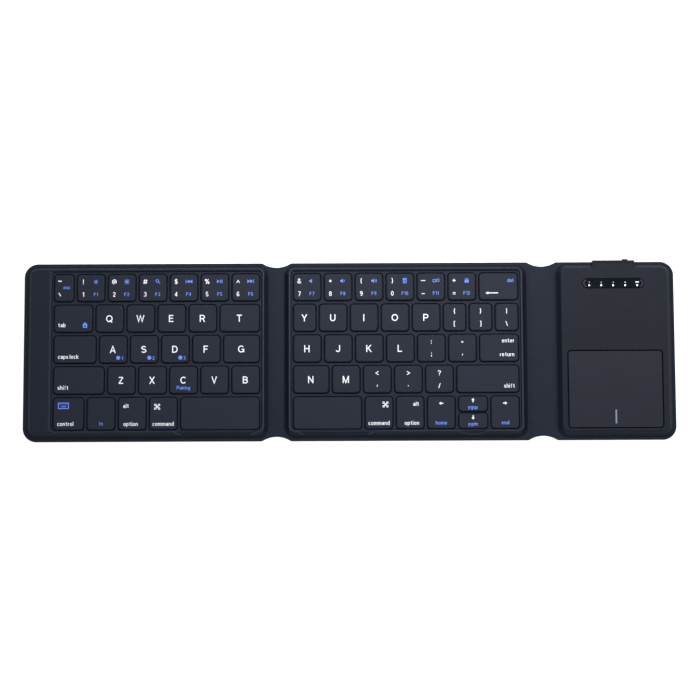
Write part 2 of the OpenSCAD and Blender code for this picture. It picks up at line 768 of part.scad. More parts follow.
module usb_port() {
    shell_t = 0.3;
    color(steel_colour) translate([port_x, rear_y, port_z + port_h / 2]) rotate([90, 0, 0]) {
        linear_extrude(port_d) difference() {
            port_outline(0);
            port_outline(shell_t);
        }
        translate([0, 0, port_d - 1]) linear_extrude(1) port_outline(shell_t / 2);
        translate([-port_w / 4 - 0.9, -0.35, 0.8]) cube([port_w / 2 + 1.8, 0.7, port_d - 1]);
    }
}

module power_switch() {
    color(steel_colour) translate([switch_x - switch_w / 2, switch_rear - switch_d, board_z + board_t])
        cube([switch_w, switch_d, switch_h]);
}

module power_slider() {
    color(cap_colour) {
        translate([knob_x - knob_w / 2, switch_rear + seat_gap, board_z + board_t + 2 * seat_gap])
            cube([knob_w, rear_y + knob_proud - switch_rear - seat_gap, knob_h]);
        translate([knob_x - 0.6, rear_y + 0.2, board_z + board_t + 2 * seat_gap + knob_h - fit])
            cube([1.2, knob_proud - 0.2, 0.2]);
    }
}

module indicator_window() {
    color("#10151d") {
        translate([0, 0, housing_z]) linear_extrude(panel_h - window_sink - housing_z - 0.2)
            window_outline(0);
        translate([0, 0, housing_z]) linear_extrude(panel_h - window_sink - housing_z)
            window_outline(-0.3);
    }
}

module indicator_lamps() {
    lamp = [1.6, 0.8, 1];
    color("white") for (i = [0 : lamp_count - 1])
        translate([right_mid - 0.35 + (i - (lamp_count - 1) / 2) * lamp_pitch, window_y - 0.9,
                   board_z + board_t + lamp[2] / 2])
            cube(lamp, center = true);
}

// ---------- Soft hinges ----------

// Stiffened strip between two creases, with a slot through it for the flat cable
module hinge_strip(band) {
    color(hinge_colour) difference() {
        sheet_band(band, 0, flange_z);
        translate([band[0] - 1, -cable_w / 2 - 0.3, skin_t])
            cube([band[1] - band[0] + 2, cable_w + 0.6, flange_z - skin_t - 0.25]);
    }
}

// Soft filling of a crease, on both sides of the cable slot
module crease_filling(x) {
    difference() {
        sheet_band([x - crease_gap + fit, x + crease_gap - fit], fit, flange_z - 2 * fit);
        translate([x - 1, -cable_w / 2 - 0.3, skin_t]) cube([2, cable_w + 0.6, flange_z]);
    }
}

// Soft slope of a side panel on its hinge side, which lies over the strip
module soft_slope(x0, x1, band) {
    intersection() {
        panel_block(x0, x1);
        translate([band[0], -panel_d, flange_z + fit])
            cube([band[1] - band[0], 2 * panel_d, panel_h]);
    }
}

module left_hinge_strip() { hinge_strip(left_strip_band); }
module left_hinge_skin() {
    color(hinge_colour) {
        crease_filling(left_crease);
        crease_filling(main_left_crease);
        soft_slope(left_left, left_right, [left_crease - crease_gap + fit, main_left_crease]);
    }
}
module left_flat_cable() {
    color("darkorange") translate([left_right - 4, -cable_w / 2, skin_t + 0.15])
        cube([main_left + 4 - left_right + 4, cable_w, 0.15]);
}

module right_hinge_strip() { hinge_strip(right_strip_band); }
module right_hinge_skin() {
    color(hinge_colour) {
        crease_filling(right_crease);
        crease_filling(main_right_crease);
        soft_slope(right_left, right_right, [main_right_crease, right_crease + crease_gap - fit]);
    }
}
module right_flat_cable() {
    color("darkorange") translate([main_right - 4, -cable_w / 2, skin_t + 0.15])
        cube([right_left + 4 - main_right + 4, cable_w, 0.15]);
}

// ---------- The nodes ----------

main_bottom_cover();
main_top_cover();
main_key_frame();
main_base_plate();
main_membrane();
main_domes();
main_scissors();
left_bottom_cover();
left_top_cover();
left_key_frame();
left_base_plate();
left_membrane();
left_domes();
left_scissors();
right_bottom_cover();
right_top_cover();
right_housing();
touchpad();
touchpad_sensor();
touchpad_switches();
circuit_board();
battery();
usb_port();
power_switch();
power_slider();
indicator_window();
indicator_lamps();
left_hinge_strip();
left_hinge_skin();
left_flat_cable();
right_hinge_strip();
right_hinge_skin();
right_flat_cable();
for (group = KEY_GROUPS) {
    key_group(group);
}
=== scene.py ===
"""Looks of the folding keyboard: leather covering, keys, legends, touchpad panel, hinges and light.

Lengths are in millimetres until a mesh is made. X runs along the keyboard, Y to its rear, Z up.
"""

import math

import bmesh
import bpy
from mathutils import Matrix, Vector

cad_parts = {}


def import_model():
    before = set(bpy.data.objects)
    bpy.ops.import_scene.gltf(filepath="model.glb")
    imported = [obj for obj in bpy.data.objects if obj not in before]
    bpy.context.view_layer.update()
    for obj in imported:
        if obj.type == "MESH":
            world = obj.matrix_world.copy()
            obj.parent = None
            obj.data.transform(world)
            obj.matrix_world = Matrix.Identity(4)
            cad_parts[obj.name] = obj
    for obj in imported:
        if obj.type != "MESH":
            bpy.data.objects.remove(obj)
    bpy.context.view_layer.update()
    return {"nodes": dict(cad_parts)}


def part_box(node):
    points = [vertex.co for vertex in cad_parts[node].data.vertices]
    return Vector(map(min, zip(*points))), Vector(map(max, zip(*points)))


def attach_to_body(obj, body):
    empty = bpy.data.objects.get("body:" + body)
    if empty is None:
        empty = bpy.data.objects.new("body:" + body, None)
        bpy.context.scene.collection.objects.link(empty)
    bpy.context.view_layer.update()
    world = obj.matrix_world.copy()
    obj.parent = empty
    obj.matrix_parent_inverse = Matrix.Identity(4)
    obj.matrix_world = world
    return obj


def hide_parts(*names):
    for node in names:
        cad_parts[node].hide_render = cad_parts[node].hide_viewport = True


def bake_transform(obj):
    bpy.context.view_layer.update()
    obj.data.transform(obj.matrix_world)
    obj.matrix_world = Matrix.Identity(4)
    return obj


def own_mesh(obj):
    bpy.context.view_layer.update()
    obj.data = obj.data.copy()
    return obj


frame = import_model()
MM = 0.001


def box_mm(node):
    low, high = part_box(node)
    return low / MM, high / MM


# ---------- Sizes, read from the frame wherever it has them ----------

CREST_WALL = 0.3
CREST_R = 3.0
SHEET_MARGIN = 4.1
SLOPE_W = 2.7
PAD_SLOPE_W = 3.3
SIDE_MARGIN = 2.25
LIP_W = 0.9
KEY_W = 14.1
KEY_GAP = 1.9
KEY_R = 1.8
KEY_EDGE_R = 0.6
KEY_SLIT = 0.4
WEB_EDGE_R = 0.18
WEB_DEPTH = 1.0
DECK_EDGE_R = 0.35
CAP_WALL = 0.9
CREASE_GAP = 0.2
SCALLOP_R = 13.3
SCALLOP_DEPTH = 2.3
PAD_R = 1.5
PAD_SLIT = 0.3
PAD_INSET = 0.1
WINDOW_SLIT = 0.1
INK_T = 0.012

SKIN_Z = box_mm("main_bottom_cover")[1].z
FLANGE_Z = box_mm("left_hinge_strip")[1].z
TOP_Z = box_mm("main_top_cover")[1].z
WEB_Z = box_mm("main_key_frame")[1].z
DECK_Z = TOP_Z - 0.01
CAP_Z = box_mm("key_escape")[1].z
SKIRT_Z = box_mm("key_escape")[0].z
PANEL_Y = box_mm("main_bottom_cover")[1].y
CREST_Y = box_mm("main_key_frame")[1].y + CREST_WALL

# Creases beside the main panel
LEFT_CREASE = box_mm("left_hinge_strip")[1].x + CREASE_GAP
RIGHT_CREASE = box_mm("right_hinge_strip")[0].x - CREASE_GAP


def crest_span(node):
    low, high = box_mm(node)
    return low.x - CREST_WALL, high.x + CREST_WALL


MAIN_SPAN = crest_span("main_key_frame")
LEFT_SPAN = crest_span("left_key_frame")
RIGHT_SPAN = crest_span("right_housing")

# Middle of each hinge strip, where its two halves of leather meet
LEFT_MID = (LEFT_SPAN[1] + MAIN_SPAN[0]) / 2
RIGHT_MID = (MAIN_SPAN[1] + RIGHT_SPAN[0]) / 2
FOOT = 2.9
LEFT_ARCH = 0.12
RIGHT_ARCH = 0.4
ARCH_CURVE = 0.8
CREASE_DIP, CREASE_W = 0.04, 0.45

# ---------- Mesh helpers ----------


def link(mesh_or_curve, name):
    obj = bpy.data.objects.new(name, mesh_or_curve)
    bpy.context.scene.collection.objects.link(obj)
    return obj


def link_mesh(bm, name, material):
    """Object of one material, made of a bmesh that is done with."""
    mesh = bpy.data.meshes.new(name)
    bm.to_mesh(mesh)
    bm.free()
    mesh.materials.clear()
    mesh.materials.append(material)
    return link(mesh, name)


def attach(piece, body, slot, *nodes):
    """The piece moves with a body and stands for CAD nodes, which it hides; slot is not used."""
    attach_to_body(piece, body)
    if nodes:
        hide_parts(*nodes)


class Build:
    """A mesh made loop by loop, in millimetres."""

    def __init__(self):
        self.bm = bmesh.new()

    def loop(self, points):
        return [self.bm.verts.new((p[0] * MM, p[1] * MM, p[2] * MM)) for p in points]

    def bridge(self, a, b, closed=True):
        count = len(a)
        for i in range(count if closed else count - 1):
            j = (i + 1) % count
            self.bm.faces.new((a[i], a[j], b[j], b[i]))

    def skin(self, loops, closed=True):
        made = [self.loop(points) for points in loops]
        for a, b in zip(made, made[1:]):
            self.bridge(a, b, closed)
        return made

    def cap(self, loop):
        self.bm.faces.new(loop)

    def fill(self, loops):
        """Flat face between loops, as an outline with holes."""
        edges = []
        for loop in loops:
            for pair in zip(loop, loop[1:] + loop[:1]):
                edges.append(self.bm.edges.get(pair) or self.bm.edges.new(pair))
        bmesh.ops.triangle_fill(self.bm, edges=edges, use_beauty=True, use_dissolve=False)

    def done(self, name, material, smooth=True, up=None, seams=()):
        """Finish the mesh: its largest level face looks up or down, and faces at a seam's X are left out."""
        def at_seam(face):
            return any(all(abs(v.co.x - x * MM) < 1e-7 for v in face.verts) for x in seams)

        bmesh.ops.remove_doubles(self.bm, verts=self.bm.verts, dist=1e-7)
        bmesh.ops.delete(self.bm, geom=[f for f in self.bm.faces if at_seam(f)], context="FACES")
        bmesh.ops.recalc_face_normals(self.bm, faces=self.bm.faces)
        if up is not None:
            top = max(self.bm.faces, key=lambda f: f.calc_area() * abs(f.normal.z))
            if (top.normal.z > 0) != up:
                bmesh.ops.reverse_faces(self.bm, faces=self.bm.faces)
        piece = link_mesh(self.bm, name, material)
        for face in piece.data.polygons:
            face.use_smooth = smooth and abs(face.normal.z) < 0.9999
        return piece


ARC = 6
CORNERS = ((1, -1, -90), (1, 1, 0), (-1, 1, 90), (-1, -1, 180))


def arc_points(x, y, r, start, stop, steps=10):
    angles = [math.radians(start + (stop - start) * i / steps) for i in range(steps + 1)]
    return [(x + r * math.cos(a), y + r * math.sin(a)) for a in angles]


def rounded_rect(x0, x1, y0, y1, r, arc=ARC, nx=1, ny=1):
    """Points of a rounded rectangle, anticlockwise from the front right corner."""
    corners = []
    for sx, sy, start in CORNERS:
        cx = (x1 - r) if sx > 0 else (x0 + r)
        cy = (y1 - r) if sy > 0 else (y0 + r)
        corners.append(arc_points(cx, cy, r, start, start + 90, arc))
    points = []
    for i, corner in enumerate(corners):
        points += corner
        last, after = corner[-1], corners[(i + 1) % 4][0]
        steps = ny if i % 2 == 0 else nx
        for j in range(1, steps):
            t = j / steps
            points.append((last[0] + (after[0] - last[0]) * t, last[1] + (after[1] - last[1]) * t))
    return points


def box_outline(low, high, inset, r, arc=ARC, up="y"):
    """Rounded rectangle inside the X and Y limits of a box, or its X and Z limits."""
    y0, y1 = getattr(low, up) + inset, getattr(high, up) - inset
    return rounded_rect(low.x + inset, high.x - inset, y0, y1, r, arc)


def round_edge(r, steps):
    """Inset and drop of each step of a rounded edge, from the side up to the top."""
    for k in range(steps + 1):
        a = math.radians(90 * k / steps)
        yield r * (1 - math.cos(a)), r * (1 - math.sin(a))


def at(points, z):
    return [(x, y, z) for x, y in points]


def between(a, b, t):
    """Loop that is a share of the way from one loop to another."""
    return [(p[0] + (q[0] - p[0]) * t, p[1] + (q[1] - p[1]) * t) for p, q in zip(a, b)]


def smooth(t):
    t = min(max(t, 0.0), 1.0)
    return t * t * (3 - 2 * t)


# ---------- Materials ----------


def srgb(r, g, b):
    """Linear colour of an 8-bit display colour."""
    def linear(v):
        v /= 255
        return v / 12.92 if v <= 0.04045 else ((v + 0.055) / 1.055) ** 2.4
    return linear(r), linear(g), linear(b)


def shader_node(tree, kind, inputs=(), **settings):
    """New node of a material or world, with its settings and input values."""
    made = tree.nodes.new("ShaderNode" + kind)
    for key, value in settings.items():
        setattr(made, key, value)
    for key, value in dict(inputs).items():
        made.inputs[key].default_value = value
    return made


BROAD_MM, SPECK_MM = 14, 1.3
BUMP_DEPTH = 0.1


def surface(name, rgb, rough, grain_mm, bump, mottle, metallic=0.0, specular=0.5,
            pebble=False, rough_spread=0.08, glow=0.0):
    """Procedural material: mottled colour, fine grain in bump, uneven roughness."""
    colour = srgb(*rgb)
    material = bpy.data.materials.new(name)
    material.use_nodes = True
    tree = material.node_tree
    join = tree.links.new
    shader = tree.nodes["Principled BSDF"]
    shader.inputs["Metallic"].default_value = metallic
    shader.inputs["Specular IOR Level"].default_value = specular
    if glow:
        shader.inputs["Emission Color"].default_value = (1, 1, 1, 1)
        shader.inputs["Emission Strength"].default_value = glow
    coords = shader_node(tree, "TexCoord")

    def texture(kind, size_mm, inputs=(), **settings):
        made = shader_node(tree, "Tex" + kind, {"Scale": 1 / (size_mm * MM), **dict(inputs)}, **settings)
        join(coords.outputs["Object"], made.inputs["Vector"])
        return made

    def ranged(source, inputs):
        made = shader_node(tree, "MapRange", inputs)
        join(source, made.inputs["Value"])
        return made.outputs["Result"]

    ramp = shader_node(tree, "ValToRGB")
    for stop, place, level in zip(ramp.color_ramp.elements, (0.3, 0.7), (1 - mottle, 1 + mottle)):
        stop.position = place
        stop.color = tuple(min(c * level, 1) for c in colour) + (1,)
    join(texture("Noise", BROAD_MM, {"Detail": 5}).outputs["Fac"], ramp.inputs["Fac"])
    specks = {"From Min": 0.25, "From Max": 0.75, "To Min": 1 - 1.5 * mottle, "To Max": 1 + 1.5 * mottle}
    tint = shader_node(tree, "VectorMath", operation="SCALE")
    join(ramp.outputs["Color"], tint.inputs[0])
    join(ranged(texture("Noise", SPECK_MM, {"Detail": 2}).outputs["Fac"], specks), tint.inputs["Scale"])
    join(tint.outputs["Vector"], shader.inputs["Base Color"])

    height = texture("Noise", grain_mm, {"Detail": 3}).outputs["Fac"]
    uneven = {"To Min": rough - rough_spread, "To Max": rough + rough_spread}
    join(ranged(height, uneven), shader.inputs["Roughness"])
    if pebble:
        cells = texture("Voronoi", 1.6 * grain_mm, feature="SMOOTH_F1")
        both = shader_node(tree, "Math", operation="ADD")
        join(cells.outputs["Distance"], both.inputs[0])
        join(height, both.inputs[1])
        height = both.outputs["Value"]
    relief = shader_node(tree, "Bump", {"Strength": bump, "Distance": BUMP_DEPTH * MM})
    join(height, relief.inputs["Height"])
    join(relief.outputs["Normal"], shader.inputs["Normal"])
    return material


LEATHER = surface("covering_leather", (23, 28, 39), 0.48, 0.35, 0.25, 0.06, specular=0.065, pebble=True)
# Painted highlight on the crests: lighter copies of the covering leather, half and full
SOFT_CREST_HIGHLIGHT = surface("crest_leather_half_highlight", (32, 36, 46), 0.46, 0.35, 0.2, 0.06, specular=0.09, pebble=True)
CREST_HIGHLIGHT = surface("crest_leather_full_highlight", (42, 46, 57), 0.44, 0.35, 0.15, 0.06, specular=0.1, pebble=True)
DECK_LEATHER = surface("deck_leather", (27, 29, 38), 0.48, 0.35, 0.25, 0.06, specular=0.05, pebble=True)
KEY_PLASTIC = surface("key_plastic", (26, 31, 43), 0.45, 0.25, 0.12, 0.04, specular=0.08)
WEB_PLASTIC = surface("key_frame_plastic", (25, 30, 40), 0.5, 0.3, 0.2, 0.05, specular=0.075)
DECK_PLASTIC = surface("deck_plastic", (29, 31, 41), 0.5, 0.3, 0.2, 0.06, specular=0.08)
PAD_SURFACE = surface("touchpad_surface", (25, 28, 38), 0.36, 0.2, 0.08, 0.04, specular=0.09)
WINDOW_PLASTIC = surface("window_plastic", (14, 18, 26), 0.5, 0.8, 0.02, 0.2, specular=0.01,
                         rough_spread=0.03)
# Painted glint on the curved ends of the lamp window
WINDOW_END_GLINT = surface("window_end_glint", (54, 60, 72), 0.5, 0.8, 0.02, 0.1, specular=0.05, rough_spread=0.03)
SLIDER_PLASTIC = surface("slider_plastic", (32, 35, 45), 0.45, 0.3, 0.2, 0.06, specular=0.1)
STEEL = surface("zinc_steel", (170, 174, 180), 0.35, 0.6, 0.15, 0.1, metallic=1.0)
DARK_STEEL = surface("black_plate_steel", (40, 42, 46), 0.5, 0.5, 0.15, 0.1, metallic=0.4, specular=0.1)
FILM = surface("membrane_film", (20, 22, 26), 0.4, 0.8, 0.1, 0.06, specular=0.1)
DOME_RUBBER = surface("dome_rubber", (52, 54, 58), 0.6, 0.3, 0.2, 0.05, specular=0.1)
LINK_PLASTIC = surface("scissor_plastic", (28, 29, 32), 0.45, 0.3, 0.2, 0.06, specular=0.1)
BOARD = surface("circuit_board", (28, 84, 56), 0.35, 0.4, 0.15, 0.15)
FOIL = surface("battery_foil", (176, 180, 186), 0.3, 1.0, 0.25, 0.06, metallic=0.8)
CABLE_FILM = surface("cable_film", (176, 112, 44), 0.3, 0.6, 0.1, 0.1)
WHITE_INK = surface("white_ink", (232, 234, 238), 0.5, 0.2, 0.1, 0.03, specular=0.3)
BLUE_INK = surface("blue_ink", (92, 130, 232), 0.5, 0.2, 0.1, 0.05, specular=0.3)
LILAC_INK = surface("lilac_ink", (116, 116, 132), 0.5, 0.2, 0.1, 0.05, specular=0.3)
LAMP_LENS = surface("lamp_lens", (240, 244, 250), 0.25, 0.3, 0.05, 0.02)
LAMP_GLOW = surface("lamp_glow", (240, 244, 250), 0.3, 0.3, 0.05, 0.02, glow=0.5)
SIGN_INK = surface("sign_ink", (225, 228, 235), 0.5, 0.2, 0.1, 0.05, specular=0.3)


def paint(material, *names):
    for name in names:
        slots = frame["nodes"][name].data.materials
        slots.clear()
        slots.append(material)


for side in ("main", "left"):
    paint(DARK_STEEL, side + "_base_plate")
    paint(FILM, side + "_membrane")
paint(DECK_PLASTIC, "right_housing")
paint(BOARD, "circuit_board", "touchpad_sensor", "touchpad_switches")
paint(FOIL, "battery")
paint(STEEL, "usb_port", "power_switch")
paint(LAMP_LENS, "indicator_lamps")
paint(CABLE_FILM, "left_flat_cable", "right_flat_cable")

# ---------- Leather covering ----------

FRONT_STEPS = 96
SIDE_STEPS = 24
CORNER_STEPS = 24


def scallop_y(x, inset):
    """Depth of the sheet's edge at x, inset by a distance, with the scallops at the hinges."""
    y = PANEL_Y - inset
    for mid in (LEFT_MID, RIGHT_MID):
        dx = x - mid
        if abs(dx) < SCALLOP_R:
            y = min(y, PANEL_Y - SCALLOP_DEPTH + SCALLOP_R - math.sqrt((SCALLOP_R + inset) ** 2 - dx * dx))
    return y


# Middle, half width and arch of the strips
STRIPS = ((LEFT_MID, LEFT_MID - (LEFT_SPAN[1] + FOOT), LEFT_ARCH),
          (RIGHT_MID, RIGHT_SPAN[0] - PAD_SLOPE_W - RIGHT_MID, RIGHT_ARCH))


def strip_z(x):
    """Height of the sheet's flat parts; the strips arch a little between their creases."""
    for middle, half, arch in STRIPS:
        t = (x - middle) / half
        if abs(t) < 1:
            return FLANGE_Z + arch * (1 - t * t) ** ARCH_CURVE
    return FLANGE_Z


class Panel:
    """Loops round one panel that keep the same points in the same order.

    An edge is the X of a seam, where the leather goes on over a hinge, or None where the sheet ends.
    The field of keys starts at field_x, where a grip strip keeps it from the crest.
    """

    def __init__(self, span, left_edge, right_edge, slope=SLOPE_W, field_x=None):
        self.x0, self.x1 = span
        self.left_edge, self.right_edge = left_edge, right_edge
        self.seams = [x for x in (left_edge, right_edge) if x is not None]
        self.slope = slope
        self.field_shift = 0 if field_x is None else field_x - self.x0

    def ring(self, offset, shift=0.0):
        """Loop at a distance from the crest, with its left side moved in by a shift."""
        return rounded_rect(self.x0 - offset + shift, self.x1 + offset, -CREST_Y - offset, CREST_Y + offset,
                            max(CREST_R + offset, 0.3), CORNER_STEPS, FRONT_STEPS, SIDE_STEPS)

    def rim(self, inset):
        """Loop round the sheet, at a distance inside its edge, or along the seam at a hinge."""
        points = self.ring(SHEET_MARGIN - inset)
        result = []
        index = 0
        for c, (sx, sy, _) in enumerate(CORNERS):
            edge = self.right_edge if sx > 0 else self.left_edge
            centre_x = (self.x1 - CREST_R) if sx > 0 else (self.x0 + CREST_R)
            centre_y = CREST_Y - CREST_R
            for k in range(CORNER_STEPS + 1):
                f = k / CORNER_STEPS
                if sx * sy < 0:
                    f = 1 - f
                if edge is None:
                    result.append(points[index + k])
                elif f <= 0.5:
                    y = centre_y + (scallop_y(edge, inset) - centre_y) * f / 0.5
                    result.append((edge, sy * y))
                else:
                    x = edge + (centre_x - edge) * (f - 0.5) / 0.5
                    result.append((x, sy * scallop_y(x, inset)))
            index += CORNER_STEPS + 1
            steps = SIDE_STEPS if c % 2 == 0 else FRONT_STEPS
            for j in range(steps - 1):
                p = points[index + j]
                if c % 2 == 1:
                    result.append((p[0], sy * scallop_y(p[0], inset)))
                else:
                    result.append((edge, p[1]) if edge is not None else p)
            index += steps - 1
        return result


SLOPE_CURVE = 1.35


def slope_z(share):
    """Height on a slope, from the crest at 0 to its foot at 1."""
    return TOP_Z - (TOP_Z - FLANGE_Z) * math.sin(math.pi / 2 * min(share, 1.0)) ** SLOPE_CURVE


THUMB_SKEW, THUMB_RAMP = 1.6, 3.2
FINGER_DEPTH, FINGER_FLAT, FINGER_HALF_W = 0.75, 1.15, 7.2


def relief_weight(x, offset, reliefs):
    """How far the front crest gives way at x to a finger: 0 not at all, 1 down to the keys.

    A relief is ("thumb", left end, right end) or ("finger", middle, half width).
    """
    weight = 0.0
    for kind, a, b in reliefs:
        if kind == "thumb":
            skew = THUMB_SKEW * max(offset, 0)
            share = smooth((x - a + skew) / THUMB_RAMP) * smooth((b - x + skew) / THUMB_RAMP)
        else:
            share = FINGER_DEPTH * smooth(FINGER_FLAT - ((x - a) / b) ** 2)
        weight = max(weight, share)
    return weight


# Distance from the crest and drop of the lip towards the keys
LIP_PROFILE = ((-LIP_W - 0.42, -1.27), (-LIP_W - 0.3, -0.95), (-LIP_W - 0.12, -0.56), (-0.85, -0.27),
               (-0.66, -0.1), (-0.46, -0.02), (-0.3, 0.0))
LOW_LIP = 0.08
SLOPE_SAMPLES = 14
FOOT_DIP, FOOT_W = 0.05, 0.08
# Insets of the sheet's edge, with the drop of the top ply and the height of the bottom ply
TOP_EDGE_INSET = 0.55
TOP_EDGE = ((0.35, 0.02), (0.15, 0.1), (0.03, 0.26), (0.0, 0.5), (0.12, 0.7))
BOTTOM_EDGE_INSET = 0.6
BOTTOM_EDGE = ((0.12, SKIN_Z), (0.0, SKIN_Z - 0.1), (0.0, 0.25), (0.1, 0.08), (0.3, 0.01),
               (BOTTOM_EDGE_INSET, 0.0))


def cover_loops(panel, with_lip, reliefs):
    """Loops of the top covering from the inside out, down to the seam between its two plies."""
    low_top = WEB_Z + LOW_LIP

    def relieved(offset, height, shift=0.0):
        """Loop at a distance from the crest, lowered in the hollows for fingers."""
        result = []
        for x, y in panel.ring(offset, shift):
            z = height
            if y < -CREST_Y + CREST_R and offset > -LIP_W - 0.35:
                low = low_top
                if offset > 0:
                    low = FLANGE_Z + (low_top - FLANGE_Z) * (1 - smooth(offset / panel.slope))
                z += (min(low, z) - z) * relief_weight(x, offset, reliefs)
            result.append((x, y, z))
        return result

    if with_lip:
        crest_z = TOP_Z
        stations = [(offset, TOP_Z + drop, panel.field_shift) for offset, drop in LIP_PROFILE]
        if panel.field_shift:
            stations += [(-0.24, TOP_Z, panel.field_shift - 0.6), (-0.18, TOP_Z, 1.0)]
        stations.append((-0.12, TOP_Z))
    else:
        crest_z = DECK_Z
        stations = [(-0.5, DECK_Z), (-0.25, DECK_Z)]
    for i in range(SLOPE_SAMPLES + 1):
        dip = FOOT_DIP if i == SLOPE_SAMPLES else 0
        stations.append((panel.slope * i / SLOPE_SAMPLES, min(slope_z(i / SLOPE_SAMPLES), crest_z) - dip))
    loops = [relieved(*station) for station in stations]
    foot = panel.ring(panel.slope + FOOT_W)
    edge = panel.rim(TOP_EDGE_INSET)
    for t in (0.0, 0.2, 0.45, 0.7, 1.0):
        loops.append([(x, y, strip_z(x) - (0.04 if t == 0 else 0)) for x, y in between(foot, edge, t)])
    for inset, drop in TOP_EDGE:
        share = drop / TOP_EDGE[-1][1]
        loops.append([(x, y, strip_z(x) - share * (strip_z(x) - SKIN_Z)) for x, y in panel.rim(inset)])
    return loops


def sole_loops(panel):
    """Loops of the bottom covering, from the seam inwards along the underside."""
    loops = [at(panel.rim(inset), z) for inset, z in BOTTOM_EDGE]
    edge = panel.rim(BOTTOM_EDGE_INSET)
    foot = panel.ring(panel.slope)
    loops += [at(between(edge, foot, t), 0.0) for t in (0.35, 0.7)]
    loops += [at(panel.ring(panel.slope * share), 0.0) for share in (1.0, 0.8, 0.6, 0.4, 0.2, 0.0)]
    loops.append(at(panel.ring(-1.2), 0.0))
    return loops


def cover(name, panel, with_lip, reliefs=(), crest_highlight_levels=()):
    build = Build()
    build.skin(cover_loops(panel, with_lip, reliefs))
    piece = build.done(name, LEATHER, up=True, seams=panel.seams)
    # Lighter leather painted on the crests as their highlight
    if crest_highlight_levels:
        paint_crest_highlights(piece.data, panel, crest_highlight_levels, reliefs)
    return piece


# Lit edges of the finger hollows, where the crest's painted highlight goes
LIT_FROM, LIT_TO, LIT_SLANT, LIT_HALF_W = -0.35, 1.1, 2.2, 1.0
CRESCENT_RISE, CRESCENT_LOW, CRESCENT_HALF_W = 1.6, -0.3, 0.22


def relief_edge(x, offset, reliefs):
    """True on the lit edge of a finger's hollow in the front crest."""
    for kind, a, b in reliefs:
        if kind == "thumb" and LIT_FROM < offset < LIT_TO:
            into = min(x - a, b - x) - LIT_HALF_W - LIT_SLANT * offset
            if abs(into) < LIT_HALF_W:
                return True
        if kind == "finger":
            t = (x - a) / (b + 1)
            crescent = CRESCENT_LOW + CRESCENT_RISE * (1 - t * t)
            if abs(t) < 1 and abs(offset - crescent) < CRESCENT_HALF_W:
                return True
    return False


# Where the painted highlight lies on the crest: depth below its top, and distances from the crest line
HIGHLIGHT_DEPTH = 0.35
HIGHLIGHT_BAND = (-0.22, 0.75)


def paint_crest_highlights(mesh, panel, crest_highlight_levels, reliefs):
    """Painted highlight: lighter leather on the crests where they catch the light, and on the lit edges of
    the finger hollows; the levels say how much on the left, right and front, 0 to 2.
    """
    for material in (SOFT_CREST_HIGHLIGHT, CREST_HIGHLIGHT):
        mesh.materials.append(material)
    left, right, front = crest_highlight_levels
    x0, x1 = panel.x0 + panel.field_shift, panel.x1
    half, middle = (x1 - x0) / 2, (x0 + x1) / 2
    for face in mesh.polygons:
        x, y, z = (c / MM for c in face.center)
        across = abs(x - middle) - (half - CREST_R)
        along = abs(y) - (CREST_Y - CREST_R)
        if across > 0 and along > 0:
            reach = math.hypot(across, along)
            inset, nx, ny = CREST_R - reach, across / reach, along / reach
        else:
            inset = CREST_R - max(across, along)
            nx, ny = (1.0, 0.0) if across > along else (0.0, 1.0)
        if y < 0 and ny > 0.99 and relief_edge(x, -inset, reliefs):
            face.material_index = 2
        elif z > TOP_Z - HIGHLIGHT_DEPTH and HIGHLIGHT_BAND[0] < inset < HIGHLIGHT_BAND[1]:
            level = (right if x > middle else left) * nx * nx + (front if y < 0 else 0) * ny * ny
            face.material_index = min(int(level + 0.5), 2)


def sole(name, panel):
    build = Build()
    made = build.skin(sole_loops(panel))
    build.cap(made[-1])
    return build.done(name, LEATHER, up=False, seams=panel.seams)


LEFTMOST_KEYS = ("key_escape", "key_tab", "key_caps_lock", "key_shift_left", "key_control")
left_field = min(box_mm(key)[0].x for key in LEFTMOST_KEYS)
left_panel = Panel(LEFT_SPAN, None, LEFT_MID, field_x=left_field - SIDE_MARGIN)
main_panel = Panel(MAIN_SPAN, MAIN_SPAN[0] - FOOT, MAIN_SPAN[1] + FOOT)
right_panel = Panel(RIGHT_SPAN, RIGHT_MID, None, PAD_SLOPE_W)

space_left = box_mm("key_space_left")
space_right = box_mm("key_space_right")
down_low, down_high = box_mm("key_down")
LEFT_RELIEFS = (("thumb", space_left[0].x - 4, LEFT_SPAN[1] - 2.5),)
MAIN_RELIEFS = (("thumb", MAIN_SPAN[0] + 4, space_right[1].x + KEY_W / 2),
                ("finger", (down_low.x + down_high.x) / 2, FINGER_HALF_W))


def side_leather(side, panel, crest, foot, *looks):
    """Covering of a side panel, top and sole, in place of its CAD covers; crest and foot are not used."""
    pieces = cover(side + "_cover", panel, *looks), sole(side + "_sole", panel)
    for piece, node in zip(pieces, ("_top_cover", "_bottom_cover")):
        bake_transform(piece)
        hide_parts(side + node)


# The last numbers say how much painted highlight the crests take on their left, right and front
side_leather("left", left_panel, LEFT_SPAN[1], LEFT_SPAN[1] + SLOPE_W, True, LEFT_RELIEFS, (1, 2, 1))
main_cover = cover("main_cover", main_panel, True, MAIN_RELIEFS, (2, 2, 1))
main_sole = sole("main_sole", main_panel)
attach(main_cover, "main_panel", "covering", "main_top_cover")
attach(main_sole, "main_panel", "covering", "main_bottom_cover")
side_leather("right", right_panel, RIGHT_SPAN[0], RIGHT_SPAN[0] - PAD_SLOPE_W, False)

# ---------- Leather between a strip's middle and the main panel ----------

SPINE_ROWS = 40
SPINE_STEPS = 8
BEND_W = 1.2
BLEND_REACH = 0.7
# Inset and height of the plies' front and rear edges
SPINE_TOP = ((0.12, SKIN_Z), (0.0, SKIN_Z + 0.15),
             (0.0, FLANGE_Z - 0.3), (0.1, FLANGE_Z - 0.13), (0.3, FLANGE_Z - 0.03))
SPINE_BOTTOM = ((0.0, SKIN_Z - 0.1), (0.0, 0.25), (0.1, 0.08), (0.3, 0.01))


